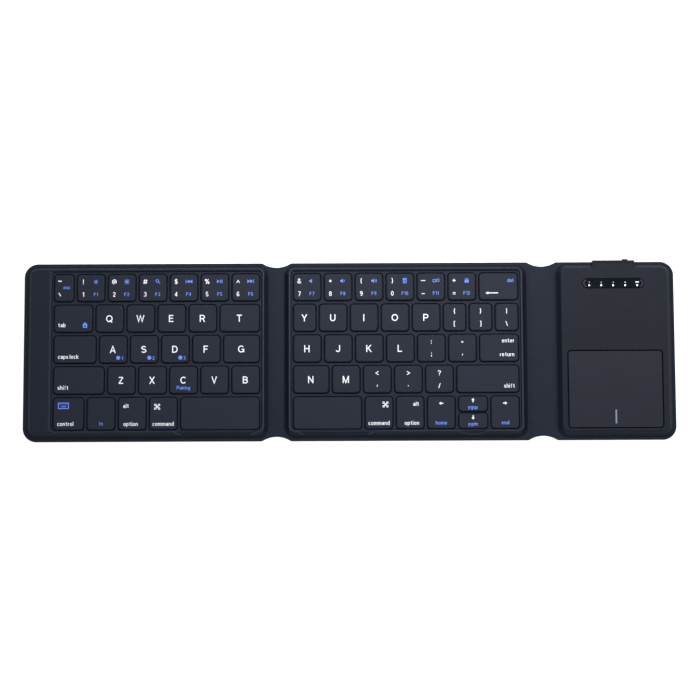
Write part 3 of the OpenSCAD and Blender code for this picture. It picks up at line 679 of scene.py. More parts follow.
def spine_section(x, crease):
    """Closed section of the two plies at x, from the front seam over the top to the rear seam and back."""
    top = strip_z(x) - CREASE_DIP * math.exp(-((x - crease) / CREASE_W) ** 2)
    rise = top - FLANGE_Z

    def edge(steps, side):
        lifted = [(inset, z + rise if z > FLANGE_Z - 0.2 else z) for inset, z in steps]
        return [(x, side * scallop_y(x, inset), z) for inset, z in lifted]

    def flat(inset, side, z):
        return [(x, side * scallop_y(x, inset) * (2 * j / SPINE_ROWS - 1), z) for j in range(SPINE_ROWS + 1)]

    over = edge(SPINE_TOP, -1) + flat(TOP_EDGE_INSET, 1, top) + edge(reversed(SPINE_TOP), 1)
    return over + edge(SPINE_BOTTOM, 1) + flat(BOTTOM_EDGE_INSET, -1, 0.0) + edge(reversed(SPINE_BOTTOM), -1)


def spine(name, middle, crease, edge):
    """Half a strip of leather, from its middle over the crease to the main panel."""
    bend = BEND_W if edge > middle else -BEND_W
    columns = [middle + (edge - bend - middle) * i / SPINE_STEPS for i in range(SPINE_STEPS + 1)]
    columns += [edge - bend + bend * i / SPINE_STEPS for i in range(1, SPINE_STEPS + 1)]
    build = Build()
    build.skin([spine_section(x, crease) for x in columns])
    return build.done(name, LEATHER, up=True)


for side, middle, crease, edge, reach in (
    ("left", LEFT_MID, LEFT_CREASE, main_panel.left_edge, -BLEND_REACH),
    ("right", RIGHT_MID, RIGHT_CREASE, main_panel.right_edge, BLEND_REACH),
):
    piece = spine(side + "_spine", middle, crease, edge)
    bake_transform(piece)
    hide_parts(side + "_hinge_strip", side + "_hinge_skin", side + "_flat_cable")

# ---------- Keys ----------

# A legend is (kind, content, across, line, height, colour). Across and line are shares of the key's width
# from the left and of its depth from the rear. A "word_left" or "word_right" starts at that edge of the key.
# A "mark" or an "icon" is centred on its line by its outline, and a "text" or a word by its capitals' height.
LEFT_COLUMN, RIGHT_COLUMN = 0.22, 0.68
REAR_LINE, FRONT_LINE = 0.28, 0.75
LETTER_H, DIGIT_H, MARK_H, WORD_H, BLUE_WORD_H, SMALL_H = 3.7, 2.45, 2.6, 2.15, 2.05, 1.85
ICON_H = 2.7
EDGE_TEXT = 2.2


def letter(c):
    return ("text", c, 0.49, 0.51, LETTER_H, "white")


def letters(row):
    return {c.lower(): [letter(c)] for c in row}


def two(upper, lower):
    return [("mark", upper, 0.5, REAR_LINE, MARK_H, "white"),
            ("mark", lower, 0.5, FRONT_LINE, MARK_H, "white")]


def number(upper, digit, icon, function):
    return [("mark", upper, LEFT_COLUMN, REAR_LINE, MARK_H, "white"),
            ("text", digit, LEFT_COLUMN, FRONT_LINE, DIGIT_H, "white"),
            ("icon", icon, RIGHT_COLUMN, REAR_LINE, ICON_H, "blue"),
            ("text", function, RIGHT_COLUMN, FRONT_LINE, SMALL_H, "blue")]


def word(text, line, side="left", height=WORD_H, colour="white"):
    return ("word_" + side, text, 0.5, line, height, colour)


def slot_letter(c, digit):
    return [letter(c), ("icon", "dot", 0.69, 0.82, 2.1, "blue"), ("text", digit, 0.84, 0.83, SMALL_H, "blue")]


def single(name, *legends):
    """A key with a node of its own."""
    return {"key_" + name: {name: legends}}


def arrow_key(way, line, function, function_line, height=SMALL_H):
    return single(way, ("icon", "arrow_" + way, 0.5, line, 2.0, "white"),
                  ("text", function, 0.5, function_line, height, "blue"))


REST = 0

# Widths of the keys in rows that aren't KEY_W; a key at REST takes what its row leaves
OTHER_WIDTHS = {"y": 11.5, "bracket_left": 11.5, "bracket_right": 11.5,
                "t": REST, "g": REST, "n": REST, "backslash": REST}

# CAD node: its keys from the left, each with its legends
KEYS = {
    **single("escape", ("mark", "~", 0.28, 0.25, 2.9, "white"), ("mark", "`", 0.28, 0.75, 2.9, "white"),
             ("text", "esc", 0.64, 0.48, 1.9, "blue")),
    "keys_1_to_6": {
        "1": number("!", "1", "sun_small", "F1"), "2": number("@", "2", "sun", "F2"),
        "3": number("#", "3", "lens", "F3"), "4": number("$", "4", "previous", "F4"),
        "5": number("%", "5", "play", "F5"), "6": number("^", "6", "next", "F6")},
    **single("tab", word("tab", 0.74), ("icon", "home", 0.81, 0.74, 3.0, "blue")),
    "keys_q_to_t": letters("QWERT"),
    **single("caps_lock", word("caps lock", 0.77)),
    "keys_a_to_g": {"a": slot_letter("A", "1"), "s": slot_letter("S", "2"), "d": slot_letter("D", "3"),
                    **letters("FG")},
    **single("shift_left", word("shift", 0.77)),
    "keys_z_to_b": {**letters("ZX"), "c": [letter("C"), ("text", "Pairing", 0.5, 0.79, SMALL_H, "blue")],
                    **letters("VB")},
    **single("control", word("control", 0.81), ("icon", "keyboard", 0.34, 0.25, 3.3, "blue")),
    **single("fn", ("text", "fn", 0.5, 0.81, 1.9, "blue")),
    **single("option_left", ("text", "alt", 0.28, 0.26, WORD_H, "white"),
             ("text", "option", 0.45, 0.82, WORD_H, "white")),
    **single("command_left", ("icon", "clover", 0.28, 0.29, 3.0, "white"),
             ("text", "command", 0.5, 0.82, WORD_H, "white")),
    **single("space_left"),
    "keys_7_to_equal": {
        "7": number("&", "7", "mute", "F7"), "8": number("*", "8", "quiet", "F8"),
        "9": number("(", "9", "loud", "F9"), "0": number(")", "0", "bin", "F10"),
        "minus": number("_", "-", "windows", "F11"), "equal": number("+", "=", "lock", "F12")},
    **single("backspace", word("del", REAR_LINE, "right", BLUE_WORD_H, "blue"),
             ("icon", "long_arrow", 0.33, 0.75, 1.9, "white")),
    "keys_y_to_backslash": {**letters("YUIOP"), "bracket_left": two("{", "["), "bracket_right": two("}", "]"),
                            "backslash": two("|", "\\")},
    "keys_h_to_quote": {**letters("HJKL"), "semicolon": two(":", ";"), "quote": two('"', "'")},
    **single("enter", word("enter", 0.23, "right"), word("return", 0.74, "right")),
    "keys_n_to_slash": {**letters("NM"), "comma": two("<", ","), "period": two(">", "."),
                        "slash": two("?", "/")},
    **single("shift_right", word("shift", 0.76, "right")),
    **single("space_right"),
    "keys_command_option_right": {
        "command_right": [("icon", "clover", 0.74, 0.25, 3.0, "white"),
                          ("text", "command", 0.5, 0.82, WORD_H, "white")],
        "option_right": [("text", "alt", 0.72, 0.23, WORD_H, "white"),
                         ("text", "option", 0.56, 0.82, WORD_H, "white")]},
    **arrow_key("left", 0.22, "home", 0.82, BLUE_WORD_H),
    **arrow_key("up", 0.27, "pgup", 0.72),
    **arrow_key("down", 0.28, "pgdn", 0.70),
    **arrow_key("right", 0.22, "end", 0.82, BLUE_WORD_H),
}


def key_cells(node, keys):
    """(name, x0, x1, y0, y1, legends) of each key of a node; one key of a row may take what is left."""
    low, high = box_mm(node)
    total = high.x - low.x
    widths = [total]
    if len(keys) > 1:
        widths = [OTHER_WIDTHS.get(name, KEY_W) for name in keys]
        known = sum(widths) + KEY_GAP * (len(keys) - 1)
        widths = [width or total - known for width in widths]
    x = low.x
    for (name, legends), width in zip(keys.items(), widths):
        yield name, x, x + width, low.y, high.y, legends
        x += width + KEY_GAP


def key_cap(name, x0, x1, y0, y1):
    """A cap with rounded top edges and a hollow underside."""
    build = Build()

    def ring(inset, z):
        return at(rounded_rect(x0 + inset, x1 - inset, y0 + inset, y1 - inset, max(KEY_R - inset, 0.5)), z)

    inner_z = CAP_Z - CAP_WALL
    loops = [ring(CAP_WALL + 0.3, inner_z), ring(CAP_WALL, inner_z), ring(CAP_WALL, SKIRT_Z)]
    loops += [ring(0.05, SKIRT_Z), ring(0, SKIRT_Z + 0.1), ring(0, CAP_Z - KEY_EDGE_R - 0.05)]
    loops += [ring(inset, CAP_Z - drop) for inset, drop in round_edge(KEY_EDGE_R, 5)]
    loops.append(ring(KEY_EDGE_R + 0.25, CAP_Z))
    made = build.skin(loops)
    build.cap(made[-1])
    build.cap(made[0])
    return build.done("key_" + name, KEY_PLASTIC, up=True)


# ---------- Legends ----------


# Lettering: strokes of each sign, capitals 10 high. "x,y" is a point and
# "cx,cy,rx,ry,from,to" an arc in degrees; ";" starts a new stroke
SIGNS = {
    "A": "0.3,0 3.7,9.6 7.1,0;1.7,3.1 5.7,3.1",
    "B": "0.8,0 0.8,10;0.8,9.2 4,9.2 4,7.25,2,1.95,90,-90 0.8,5.3;4.1,5.2 4.1,3,2.3,2.2,90,-90 0.8,0.8",
    "C": "4.4,5,3.6,4.2,42,318", "D": "0.8,0 0.8,10;0.8,9.2 3.3,9.2 3.3,5,3.7,4.2,90,-90 0.8,0.8",
    "E": "0.8,0 0.8,10;0.8,9.2 6.3,9.2;0.8,5.2 5.8,5.2;0.8,0.8 6.4,0.8",
    "F": "0.8,0 0.8,10;0.8,9.2 6.1,9.2;0.8,5 5.4,5", "G": "4.5,5,3.7,4.2,42,335;8,0.3 8,4.6 5.1,4.6",
    "H": "0.8,0 0.8,10;6.8,0 6.8,10;0.8,5.2 6.8,5.2", "I": "0.8,0 0.8,10",
    "J": "5.3,10 5.3,3 3,3,2.3,2.2,0,-170", "K": "0.8,0 0.8,10;6.7,10 1.1,4;2.9,5.6 7.1,0",
    "L": "0.8,10 0.8,0;0.8,0.8 6.1,0.8", "M": "0.8,0 0.8,10;1,9.4 4.4,0.6 7.8,9.4;8,10 8,0",
    "N": "0.8,0 0.8,10;0.9,9.2 6.7,0.8;6.8,0 6.8,10", "O": "4.6,5,3.8,4.2,0,360",
    "P": "0.8,0 0.8,10;0.8,9.2 4.1,9.2 4.1,6.8,2.4,2.4,90,-90 0.8,4.4",
    "Q": "4.6,5,3.8,4.2,0,360;5.2,2.9 8.6,-0.3",
    "R": "0.8,0 0.8,10;0.8,9.2 4.2,9.2 4.2,6.9,2.3,2.3,90,-90 0.8,4.6;4.2,4.6 6.8,0",
    "S": "3.7,7.15,2.7,2.05,25,270 3.7,2.95,2.9,2.15,90,-155", "T": "3.6,0 3.6,10;0,9.2 7.2,9.2",
    "U": "0.8,10 0.8,3.7 3.8,3.7,3,2.9,180,360 6.8,10", "V": "0.4,10 3.6,0.6 6.8,10",
    "W": "0.3,10 2.8,0.6 5.2,9.4 7.6,0.6 10.1,10", "X": "0.4,10 6.8,0;6.8,10 0.4,0",
    "Y": "0.3,10 3.6,4.4 6.9,10;3.6,4.8 3.6,0", "Z": "0.5,9.2 6.2,9.2;6.1,9 0.8,1;0.3,0.8 6.5,0.8",
    "0": "2.9,5,2.1,4.2,0,360", "1": "2.6,0 2.6,10;2.7,9.5 0.5,7.5",
    "2": "2.9,7,2.1,2.2,170,-38 0.9,1;0.6,0.8 5.2,0.8", "3": "2.7,7.2,1.9,2,150,-90;2.7,2.9,2.2,2.2,90,-150",
    "4": "4.1,0 4.1,10;4.1,9.4 0.7,3.1;0.4,2.8 5.7,2.8", "5": "5,9.2 1.5,9.2 1.1,5 2.9,3,2.2,2.3,128,-145",
    "6": "2.9,2.95,2.1,2.15,0,360;0.8,3 0.8,4.6 3,5,2.2,4.2,180,50", "7": "0.4,9.2 5.1,9.2;5,9 2.1,0",
    "8": "2.9,7.3,1.8,1.9,0,360;2.9,2.95,2.1,2.2,0,360",
    "9": "2.9,7.05,2.1,2.15,0,360;5,7 5,5.4 2.8,5,2.2,4.2,0,-130",
    "a": "2.8,4.7,1.9,1.6,165,0 4.7,0;4.7,4 2.7,2.2,2,1.5,90,270 4.7,1.4",
    "b": "0.8,0 0.8,10;2.9,3.5,2.1,2.8,0,360", "c": "3,3.5,2.2,2.8,48,312",
    "d": "5,0 5,10;2.9,3.5,2.1,2.8,0,360", "e": "0.9,3.6 5.1,3.6 3,3.5,2.2,2.8,0,312",
    "f": "1.9,0 1.9,8 3.2,7.9,1.3,1.4,180,80;0.2,6.4 3.4,6.4",
    "g": "2.9,3.8,2.1,2.5,0,360;5,6.9 5,-0.6 2.9,-0.6,2.1,1.6,0,-155",
    "h": "0.8,0 0.8,10;0.8,4.2 2.8,4.2,2,2.1,180,0 4.8,0", "i": "0.8,0 0.8,6.9;0.8,8.4 0.8,10",
    "k": "0.8,0 0.8,10;4.6,6.9 1,3;2.3,4.3 4.9,0", "l": "0.8,0 0.8,10",
    "m": "0.8,0 0.8,6.9;0.8,4.4 2.5,4.4,1.7,1.9,180,0 4.2,0;4.2,4.4 5.9,4.4,1.7,1.9,180,0 7.6,0",
    "n": "0.8,0 0.8,6.9;0.8,4.2 2.8,4.2,2,2.1,180,0 4.8,0", "o": "3,3.5,2.2,2.8,0,360",
    "p": "0.8,-2.6 0.8,6.9;2.9,3.5,2.1,2.8,0,360", "r": "0.8,0 0.8,6.9;0.8,4.2 2.8,4.2,2,2.1,180,85",
    "s": "2.6,4.9,1.7,1.4,25,270 2.6,2.1,1.9,1.4,90,-155",
    "t": "1.8,9 1.8,2.2 3.1,2.1,1.3,1.4,180,285;0.2,6.4 3.4,6.4",
    "u": "0.8,6.9 0.8,2.8 2.8,2.8,2,2.1,180,360;4.8,0 4.8,6.9", "!": "0.8,3.2 0.8,10;0.8,0 0.8,1.7",
    "@": "4.4,5,3.9,4.3,-50,270;4.3,5,1.3,1.7,0,360;5.7,3.4 6.2,6.6",
    "#": "1.6,0.4 3.2,9.6;5,0.4 6.6,9.6;0.4,6.8 8,6.8;0,3.2 7.6,3.2",
    "$": "3.4,7,2.3,1.9,25,270 3.4,3.1,2.5,2,90,-155;3.4,-0.6 3.4,10.6",
    "%": "1.9,7.5,1.3,1.8,0,360;6.9,2.5,1.3,1.8,0,360;6.8,9.8 2,0.2", "^": "0,4.6 2.9,9.4 5.8,4.6",
    "&": "7,0.3 2.3,6.3 3.3,7.8,1.5,1.5,220,-45 1.6,4.3 2.9,2.7,2.2,2,140,330 6.5,4.6",
    "*": "2.2,10 2.2,5;0.2,8.8 4.2,6.2;4.2,8.8 0.2,6.2", "(": "4.6,4.6,3.9,7,130,230",
    ")": "-1,4.6,3.9,7,50,-50", "_": "0,4 8.6,4", "-": "0,4 6.4,4", "+": "3.1,1.2 3.1,7.6;-0.2,4.4 6.4,4.4",
    "=": "0,6.1 6,6.1;0,2.9 6,2.9", "~": "0,3.8 1.4,5.4 2,5.4 3.8,3.8 4.4,3.8 5.8,5.4", "`": "0,10 3.6,4.4",
    "{": "3,9.6 2,9.2 1.8,8 1.8,5.8 0.7,4.4 1.8,3 1.8,0.8 2,-0.4 3,-0.8",
    "}": "0.6,9.6 1.6,9.2 1.8,8 1.8,5.8 2.9,4.4 1.8,3 1.8,0.8 1.6,-0.4 0.6,-0.8",
    "[": "2.6,9.4 0.8,9.4 0.8,-0.6 2.6,-0.6", "]": "0.6,9.4 2.4,9.4 2.4,-0.6 0.6,-0.6",
    "|": "0.8,-0.8 0.8,10", "\\": "0.3,10 3.5,0", "/": "3.5,10 0.3,0", ":": "0.8,1.9 0.8,0;0.8,6.6 0.8,4.7",
    ";": "0.8,6.6 0.8,4.7;0.8,1.9 0.8,0.3 0.3,-1.4", '"': "0.7,10 0.7,6.9;3,10 3,6.9", "'": "0.7,10 0.7,6.9",
    "<": "6.2,8 0.7,4.4 6.2,0.8", ">": "0.4,8 5.9,4.4 0.4,0.8", ",": "0.9,1.9 0.9,0.2 0.3,-1.6",
    ".": "0.8,0 0.8,1.9", "?": "3,7.3,2.5,2.1,170,-45 3,4.4 3,2.9;3,0 3,1.7",
}
SPACE_W, LETTER_GAP, STROKE_W = 2.5, 1.15, 1.4
STROKE_LIFT = 4e-7


def stroke_paths(sign):
    for stroke in SIGNS[sign].split(";"):
        points = []
        for item in stroke.split():
            values = [float(v) for v in item.split(",")]
            if len(values) == 2:
                points.append(tuple(values))
            else:
                cx, cy, rx, ry, start, stop = values
                steps = max(4, int(abs(stop - start) / 15))
                for i in range(steps + 1):
                    a = math.radians(start + (stop - start) * i / steps)
                    points.append((cx + rx * math.cos(a), cy + ry * math.sin(a)))
        kept = [points[0]]
        for p in points[1:]:
            if math.dist(p, kept[-1]) > 0.05:
                kept.append(p)
        yield kept


def stroke_sides(points, half):
    """Left and right edges of a stroke of even width, mitred at its bends."""
    closed = len(points) > 3 and math.dist(points[0], points[-1]) < 0.3
    left, right = [], []
    last = len(points) - 1
    for i, p in enumerate(points):
        before = points[i - 1] if i else (points[last - 1] if closed else None)
        after = points[i + 1] if i < last else (points[1] if closed else None)
        ways = []
        for a, b in ((before, p), (p, after)):
            if a is not None and b is not None:
                d = math.dist(a, b)
                ways.append(((b[0] - a[0]) / d, (b[1] - a[1]) / d))
        nx = -sum(w[1] for w in ways)
        ny = sum(w[0] for w in ways)
        size = math.hypot(nx, ny) or 1.0
        nx, ny = nx / size, ny / size
        reach = half / max(nx * -ways[0][1] + ny * ways[0][0], 0.45)
        left.append((p[0] + nx * reach, p[1] + ny * reach))
        right.append((p[0] - nx * reach, p[1] - ny * reach))
    return left, right


def text_mesh(text, height):
    """Flat lettering whose capitals have that height, with its baseline at y = 0.

    Each stroke lies a hair above the one before, so that no two faces share a plane.
    """
    scale = height / 10 * MM
    vertices, faces = [], []
    x = 0.0
    layer = 0
    for sign in text:
        if sign == " ":
            x += SPACE_W
            continue
        paths = list(stroke_paths(sign))
        start = min(p[0] for path in paths for p in path)
        for path in paths:
            sides = stroke_sides([(p[0] - start + x, p[1]) for p in path], STROKE_W / 2)
            layer += 1
            base = len(vertices)
            for pair in zip(*sides):
                vertices += [(p[0] * scale, p[1] * scale, layer * STROKE_LIFT) for p in pair]
            faces += [(i, i + 1, i + 3, i + 2) for i in range(base, len(vertices) - 2, 2)]
        x += max(p[0] for path in paths for p in path) - start + LETTER_GAP + STROKE_W
    middle = (x - LETTER_GAP - STROKE_W) / 2 * scale
    mesh = bpy.data.meshes.new("lettering")
    mesh.from_pydata([(v[0] - middle, v[1], v[2]) for v in vertices], [], faces)
    return mesh


def curve_mesh(curve):
    obj = link(curve, "temporary")
    bpy.context.view_layer.update()
    mesh = bpy.data.meshes.new_from_object(obj.evaluated_get(bpy.context.evaluated_depsgraph_get()))
    bpy.data.objects.remove(obj)
    bpy.data.curves.remove(curve)
    return mesh


def disc(x, y, r):
    return arc_points(x, y, r, 0, 342, 19)


def bar(x, y, w, h):
    return [(x - w / 2, y - h / 2), (x + w / 2, y - h / 2), (x + w / 2, y + h / 2), (x - w / 2, y + h / 2)]


def turned(points, degrees, x=0.0, y=0.0):
    c, s = math.cos(math.radians(degrees)), math.sin(math.radians(degrees))
    return [(x + px * c - py * s, y + px * s + py * c) for px, py in points]


def sun(core, reach, wide):
    rays = [turned(bar((core + reach) / 2 + 0.06, 0, reach - core, wide), a) for a in range(0, 360, 45)]
    return [disc(0, 0, core)] + rays


def speaker(*waves):
    shapes = [[(-0.5, -0.16), (-0.3, -0.16), (0, -0.42), (0, 0.42), (-0.3, 0.16), (-0.5, 0.16)]]
    for r in waves:
        shapes.append(arc_points(0.02, 0, r, -45, 45) + arc_points(0.02, 0, r - 0.12, 45, -45))
    return shapes


def arrow(degrees):
    outline = [(-0.55, 0), (0, -0.42), (0, -0.13), (0.55, -0.13), (0.55, 0.13), (0, 0.13), (0, 0.42)]
    return [turned(outline, degrees)]


def icon_shapes(kind):
    """Outlines of a small sign in a square of side 1; an outline inside another is a hole."""
    triangle = [(-0.3, -0.34), (0.24, 0), (-0.3, 0.34)]
    shapes = {
        "sun_small": sun(0.2, 0.36, 0.1),
        "sun": sun(0.25, 0.48, 0.12),
        "lens": [disc(-0.1, 0.1, 0.32), disc(-0.1, 0.1, 0.2),
                 turned(bar(0, 0, 0.42, 0.15), -45, 0.28, -0.28)],
        "previous": [turned(triangle, 180, -0.16), turned(triangle, 180, 0.38), bar(-0.52, 0, 0.12, 0.68)],
        "play": [turned(triangle, 0, -0.22), bar(0.2, 0, 0.13, 0.68), bar(0.44, 0, 0.13, 0.68)],
        "next": [turned(triangle, 0, -0.34), turned(triangle, 0, 0.2), bar(0.54, 0, 0.12, 0.68)],
        "mute": speaker(),
        "quiet": speaker(0.3),
        "loud": speaker(0.28, 0.52),
        "bin": [[(-0.32, -0.5), (0.32, -0.5), (0.36, 0.3), (-0.36, 0.3)],
                [(-0.2, -0.38), (-0.06, -0.38), (-0.06, 0.18), (-0.22, 0.18)],
                [(0.06, -0.38), (0.2, -0.38), (0.22, 0.18), (0.06, 0.18)],
                bar(0, 0.4, 0.9, 0.11), bar(0, 0.5, 0.3, 0.1)],
        "windows": [bar(-0.26, -0.04, 0.62, 0.56), bar(-0.26, -0.04, 0.4, 0.34),
                    bar(0.4, 0.06, 0.56, 0.56), bar(0.4, 0.06, 0.34, 0.34)],
        "lock": [bar(0, -0.2, 0.76, 0.56), arc_points(0, 0.1, 0.3, 0, 180) + arc_points(0, 0.1, 0.18, 180, 0),
                 disc(0, -0.18, 0.09)],
        "home": [[(-0.36, -0.5), (0.36, -0.5), (0.36, 0.02), (0.5, 0.02),
                  (0, 0.5), (-0.5, 0.02), (-0.36, 0.02)], bar(0, -0.22, 0.24, 0.3)],
        "keyboard": [bar(0, 0, 1.7, 1.0), bar(0, 0, 1.42, 0.74)]
        + [bar(-0.48 + 0.24 * i, 0.16, 0.12, 0.12) for i in range(5)] + [bar(0, -0.14, 0.8, 0.13)],
        "clover": [disc(x, y, r) for r in (0.2, 0.09) for x in (-0.32, 0.32) for y in (-0.32, 0.32)]
        + [bar(0, 0, 0.36, 0.36)],
        "long_arrow": [[(-1.75, 0), (-0.95, 0.42), (-0.95, -0.42)], bar(0.36, 0, 2.7, 0.26)],
        "arrow_left": arrow(0),
        "arrow_right": arrow(180),
        "arrow_up": arrow(-90),
        "arrow_down": arrow(90),
        "dot": [disc(0, 0, 0.5)],
        "battery": [bar(-0.1, 0, 2.0, 0.95), bar(1.05, 0, 0.25, 0.5)],
    }
    return shapes[kind]


def icon_mesh(kind, height):
    curve = bpy.data.curves.new("icon", "CURVE")
    curve.dimensions = "2D"
    curve.fill_mode = "BOTH"
    for outline in icon_shapes(kind):
        spline = curve.splines.new("POLY")
        spline.points.add(len(outline) - 1)
        for point, (x, y) in zip(spline.points, outline):
            point.co = (x * height * MM, y * height * MM, 0, 1)
        spline.use_cyclic_u = True
    return curve_mesh(curve)


def placed_ink(legend, x0, x1, y0, y1):
    """One legend as a flat mesh, placed on its key."""
    kind, content, fx, fy, height, _ = legend
    x = x0 + (x1 - x0) * fx
    y = y1 - (y1 - y0) * fy
    mesh = icon_mesh(content, height) if kind == "icon" else text_mesh(content, height)
    xs = [v.co.x / MM for v in mesh.vertices]
    ys = [v.co.y / MM for v in mesh.vertices]
    if kind == "word_left":
        x = x0 + EDGE_TEXT - min(xs)
    if kind == "word_right":
        x = x1 - EDGE_TEXT - max(xs)
    y -= (min(ys) + max(ys)) / 2 if kind in ("mark", "icon") else height / 2
    mesh.transform(Matrix.Translation((x * MM, y * MM, 0)))
    return mesh


def ink_piece(name, body, inks, z, material, slot):
    """Lettering of one colour on one body: thin raised ink."""
    bm = bmesh.new()
    for mesh in inks:
        bm.from_mesh(mesh)
        bpy.data.meshes.remove(mesh)
    bmesh.ops.remove_doubles(bm, verts=bm.verts, dist=1e-8)
    for v in bm.verts:
        v.co.z += z * MM
    bmesh.ops.recalc_face_normals(bm, faces=bm.faces)
    for face in bm.faces:
        if face.normal.z < 0:
            face.normal_flip()
    raised = bmesh.ops.extrude_face_region(bm, geom=list(bm.faces))
    for v in raised["geom"]:
        if isinstance(v, bmesh.types.BMVert):
            v.co.z += INK_T * MM
    bmesh.ops.recalc_face_normals(bm, faces=bm.faces)
    attach(link_mesh(bm, name, material), body, slot)


INKS = {"white": (WHITE_INK, "legend_white"), "blue": (BLUE_INK, "legend_blue")}
cells_of = {"left": [], "main": []}


def side_of(node):
    return "left" if box_mm(node)[1].x < LEFT_MID else "main"


for node, keys in KEYS.items():
    side = side_of(node)
    inks = {"white": [], "blue": []}
    for name, x0, x1, y0, y1, legends in key_cells(node, keys):
        attach(key_cap(name, x0, x1, y0, y1), node, "key_cap", node)
        cells_of[side].append((x0, x1, y0, y1))
        for legend in legends:
            inks[legend[5]].append(placed_ink(legend, x0, x1, y0, y1))
    for colour, meshes in inks.items():
        if meshes:
            ink_piece("legend_%s_%s" % (colour, node), node, meshes, CAP_Z, *INKS[colour])

# ---------- Scissor links and domes under the keys -------------------------------


def under_key(part, node, material, slot, keep):
    """The links or domes under one key node, cut out of the CAD part; keep is not used."""
    side = side_of(node)
    source = frame["nodes"][side + "_" + part]
    low, high = box_mm(node)
    bm = bmesh.new()
    bm.from_mesh(source.data)
    bm.transform(source.matrix_world)
    outside = [v for v in bm.verts if not (low.x < v.co.x / MM < high.x and low.y < v.co.y / MM < high.y)]
    bmesh.ops.delete(bm, geom=outside, context="VERTS")
    piece = link_mesh(bm, part + "_" + node, material)
    attach(piece, side + "_panel", slot, side + "_" + part)
    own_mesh(piece)


MEMBRANE_Z = box_mm("left_membrane")[1].z
LINKS_KEEP, DOMES_KEEP = 0.6, 0.55
for node in KEYS:
    under_key("scissors", node, LINK_PLASTIC, "scissor_plastic", LINKS_KEEP)
    under_key("domes", node, DOME_RUBBER, "dome_rubber", DOMES_KEEP)

# ---------- Key frames ----------


def key_web(name, span, cells, body, node):
    """Grid between the keys, with its windows' edges rounded."""
    build = Build()
    inset = CREST_WALL + 0.05
    outer = rounded_rect(span[0] + inset, span[1] - inset, -CREST_Y + inset, CREST_Y - inset, CREST_R - inset)
    tops = [build.skin([at(outer, WEB_Z - WEB_DEPTH), at(outer, WEB_Z)])[-1]]
    for x0, x1, y0, y1 in cells:
        def window(grow):
            g = KEY_SLIT + grow
            return rounded_rect(x0 - g, x1 + g, y0 - g, y1 + g, KEY_R + g)
        loops = [at(window(0), WEB_Z - WEB_DEPTH)]
        loops += [at(window(grow), WEB_Z - drop) for grow, drop in round_edge(WEB_EDGE_R, 4)]
        loops.append(at(window(WEB_EDGE_R + 0.08), WEB_Z))
        tops.append(build.skin(loops)[-1])
    build.fill(tops)
    attach(build.done(name, WEB_PLASTIC, up=True), body, "key_frame", node)


key_web("main_key_web", MAIN_SPAN, cells_of["main"], "main_panel", "main_key_frame")
key_web("left_key_web", LEFT_SPAN, cells_of["left"], "left_panel", "left_key_frame")

# ---------- Touchpad panel ----------

pad_low, pad_high = box_mm("touchpad")
window_low, window_high = box_mm("indicator_window")
slider_low, slider_high = box_mm("power_slider")
port_low, port_high = box_mm("usb_port")
TONGUE_START, TONGUE_W = 15.9, 22.3
TONGUE_X = (RIGHT_SPAN[0] + TONGUE_START, RIGHT_SPAN[0] + TONGUE_START + TONGUE_W)
TONGUE_WALL = 1.0
SLIDER_TRAVEL = 2.0
DECK_T = 0.8
SCOOP_W = 2.2
LAMP_W, LAMP_LINE, SIGN_LINE = 1.6, 1.4, 3.2
LENS_R, LENS_H, LENS_ANGLE = 0.5, 0.14, 80


def pad_outline(inset):
    return box_outline(pad_low, pad_high, inset, PAD_R - inset, 10)


def window_outline(inset):
    r = (window_high.y - window_low.y) / 2 - inset
    return box_outline(window_low, window_high, inset, max(r - 0.005, 0.05), 14)


def deck_opening(build, outline, slit):
    """Rounded rim of an opening in the deck, a slit wider than the piece in it. Returns its top loop."""
    loops = [at(outline(-slit), DECK_Z - DECK_T)]
    loops += [at(outline(-slit - grow), DECK_Z - drop) for grow, drop in round_edge(DECK_EDGE_R, 4)]
    loops.append(at(outline(-slit - DECK_EDGE_R - 0.2), DECK_Z))
    return build.skin(loops)[-1]


def right_deck():
    build = Build()
    outer = build.loop(at(right_panel.ring(-0.5), DECK_Z))
    openings = [deck_opening(build, pad_outline, PAD_SLIT), deck_opening(build, window_outline, WINDOW_SLIT)]
    build.fill([outer] + openings)
    attach(build.done("right_deck", DECK_LEATHER, up=True), "right_panel", "covering")


def touchpad():
    build = Build()

    def ring(inset, z):
        return at(pad_outline(inset + PAD_INSET), z)

    top = pad_high.z
    loops = [ring(0.1, pad_low.z), ring(0, pad_low.z + 0.1)]
    loops += [ring(inset, top - drop) for inset, drop in round_edge(DECK_EDGE_R, 4)]
    loops.append(ring(DECK_EDGE_R + 0.3, top))
    made = build.skin(loops)
    build.cap(made[0])
    build.cap(made[-1])
    attach(build.done("touchpad_plate", PAD_SURFACE, up=True), "touchpad", "touch_surface", "touchpad")

    mark_w, mark_l, mark_y = 0.8, 7.2, 2.1
    outline = bar((pad_low.x + pad_high.x) / 2, pad_low.y + mark_y + mark_l / 2, mark_w, mark_l)
    build = Build()
    made = build.skin([at(outline, top - 0.02), at(outline, top + INK_T)])
    build.cap(made[1])
    attach(build.done("touchpad_mark", LILAC_INK, False, up=True), "touchpad", "touch_surface")


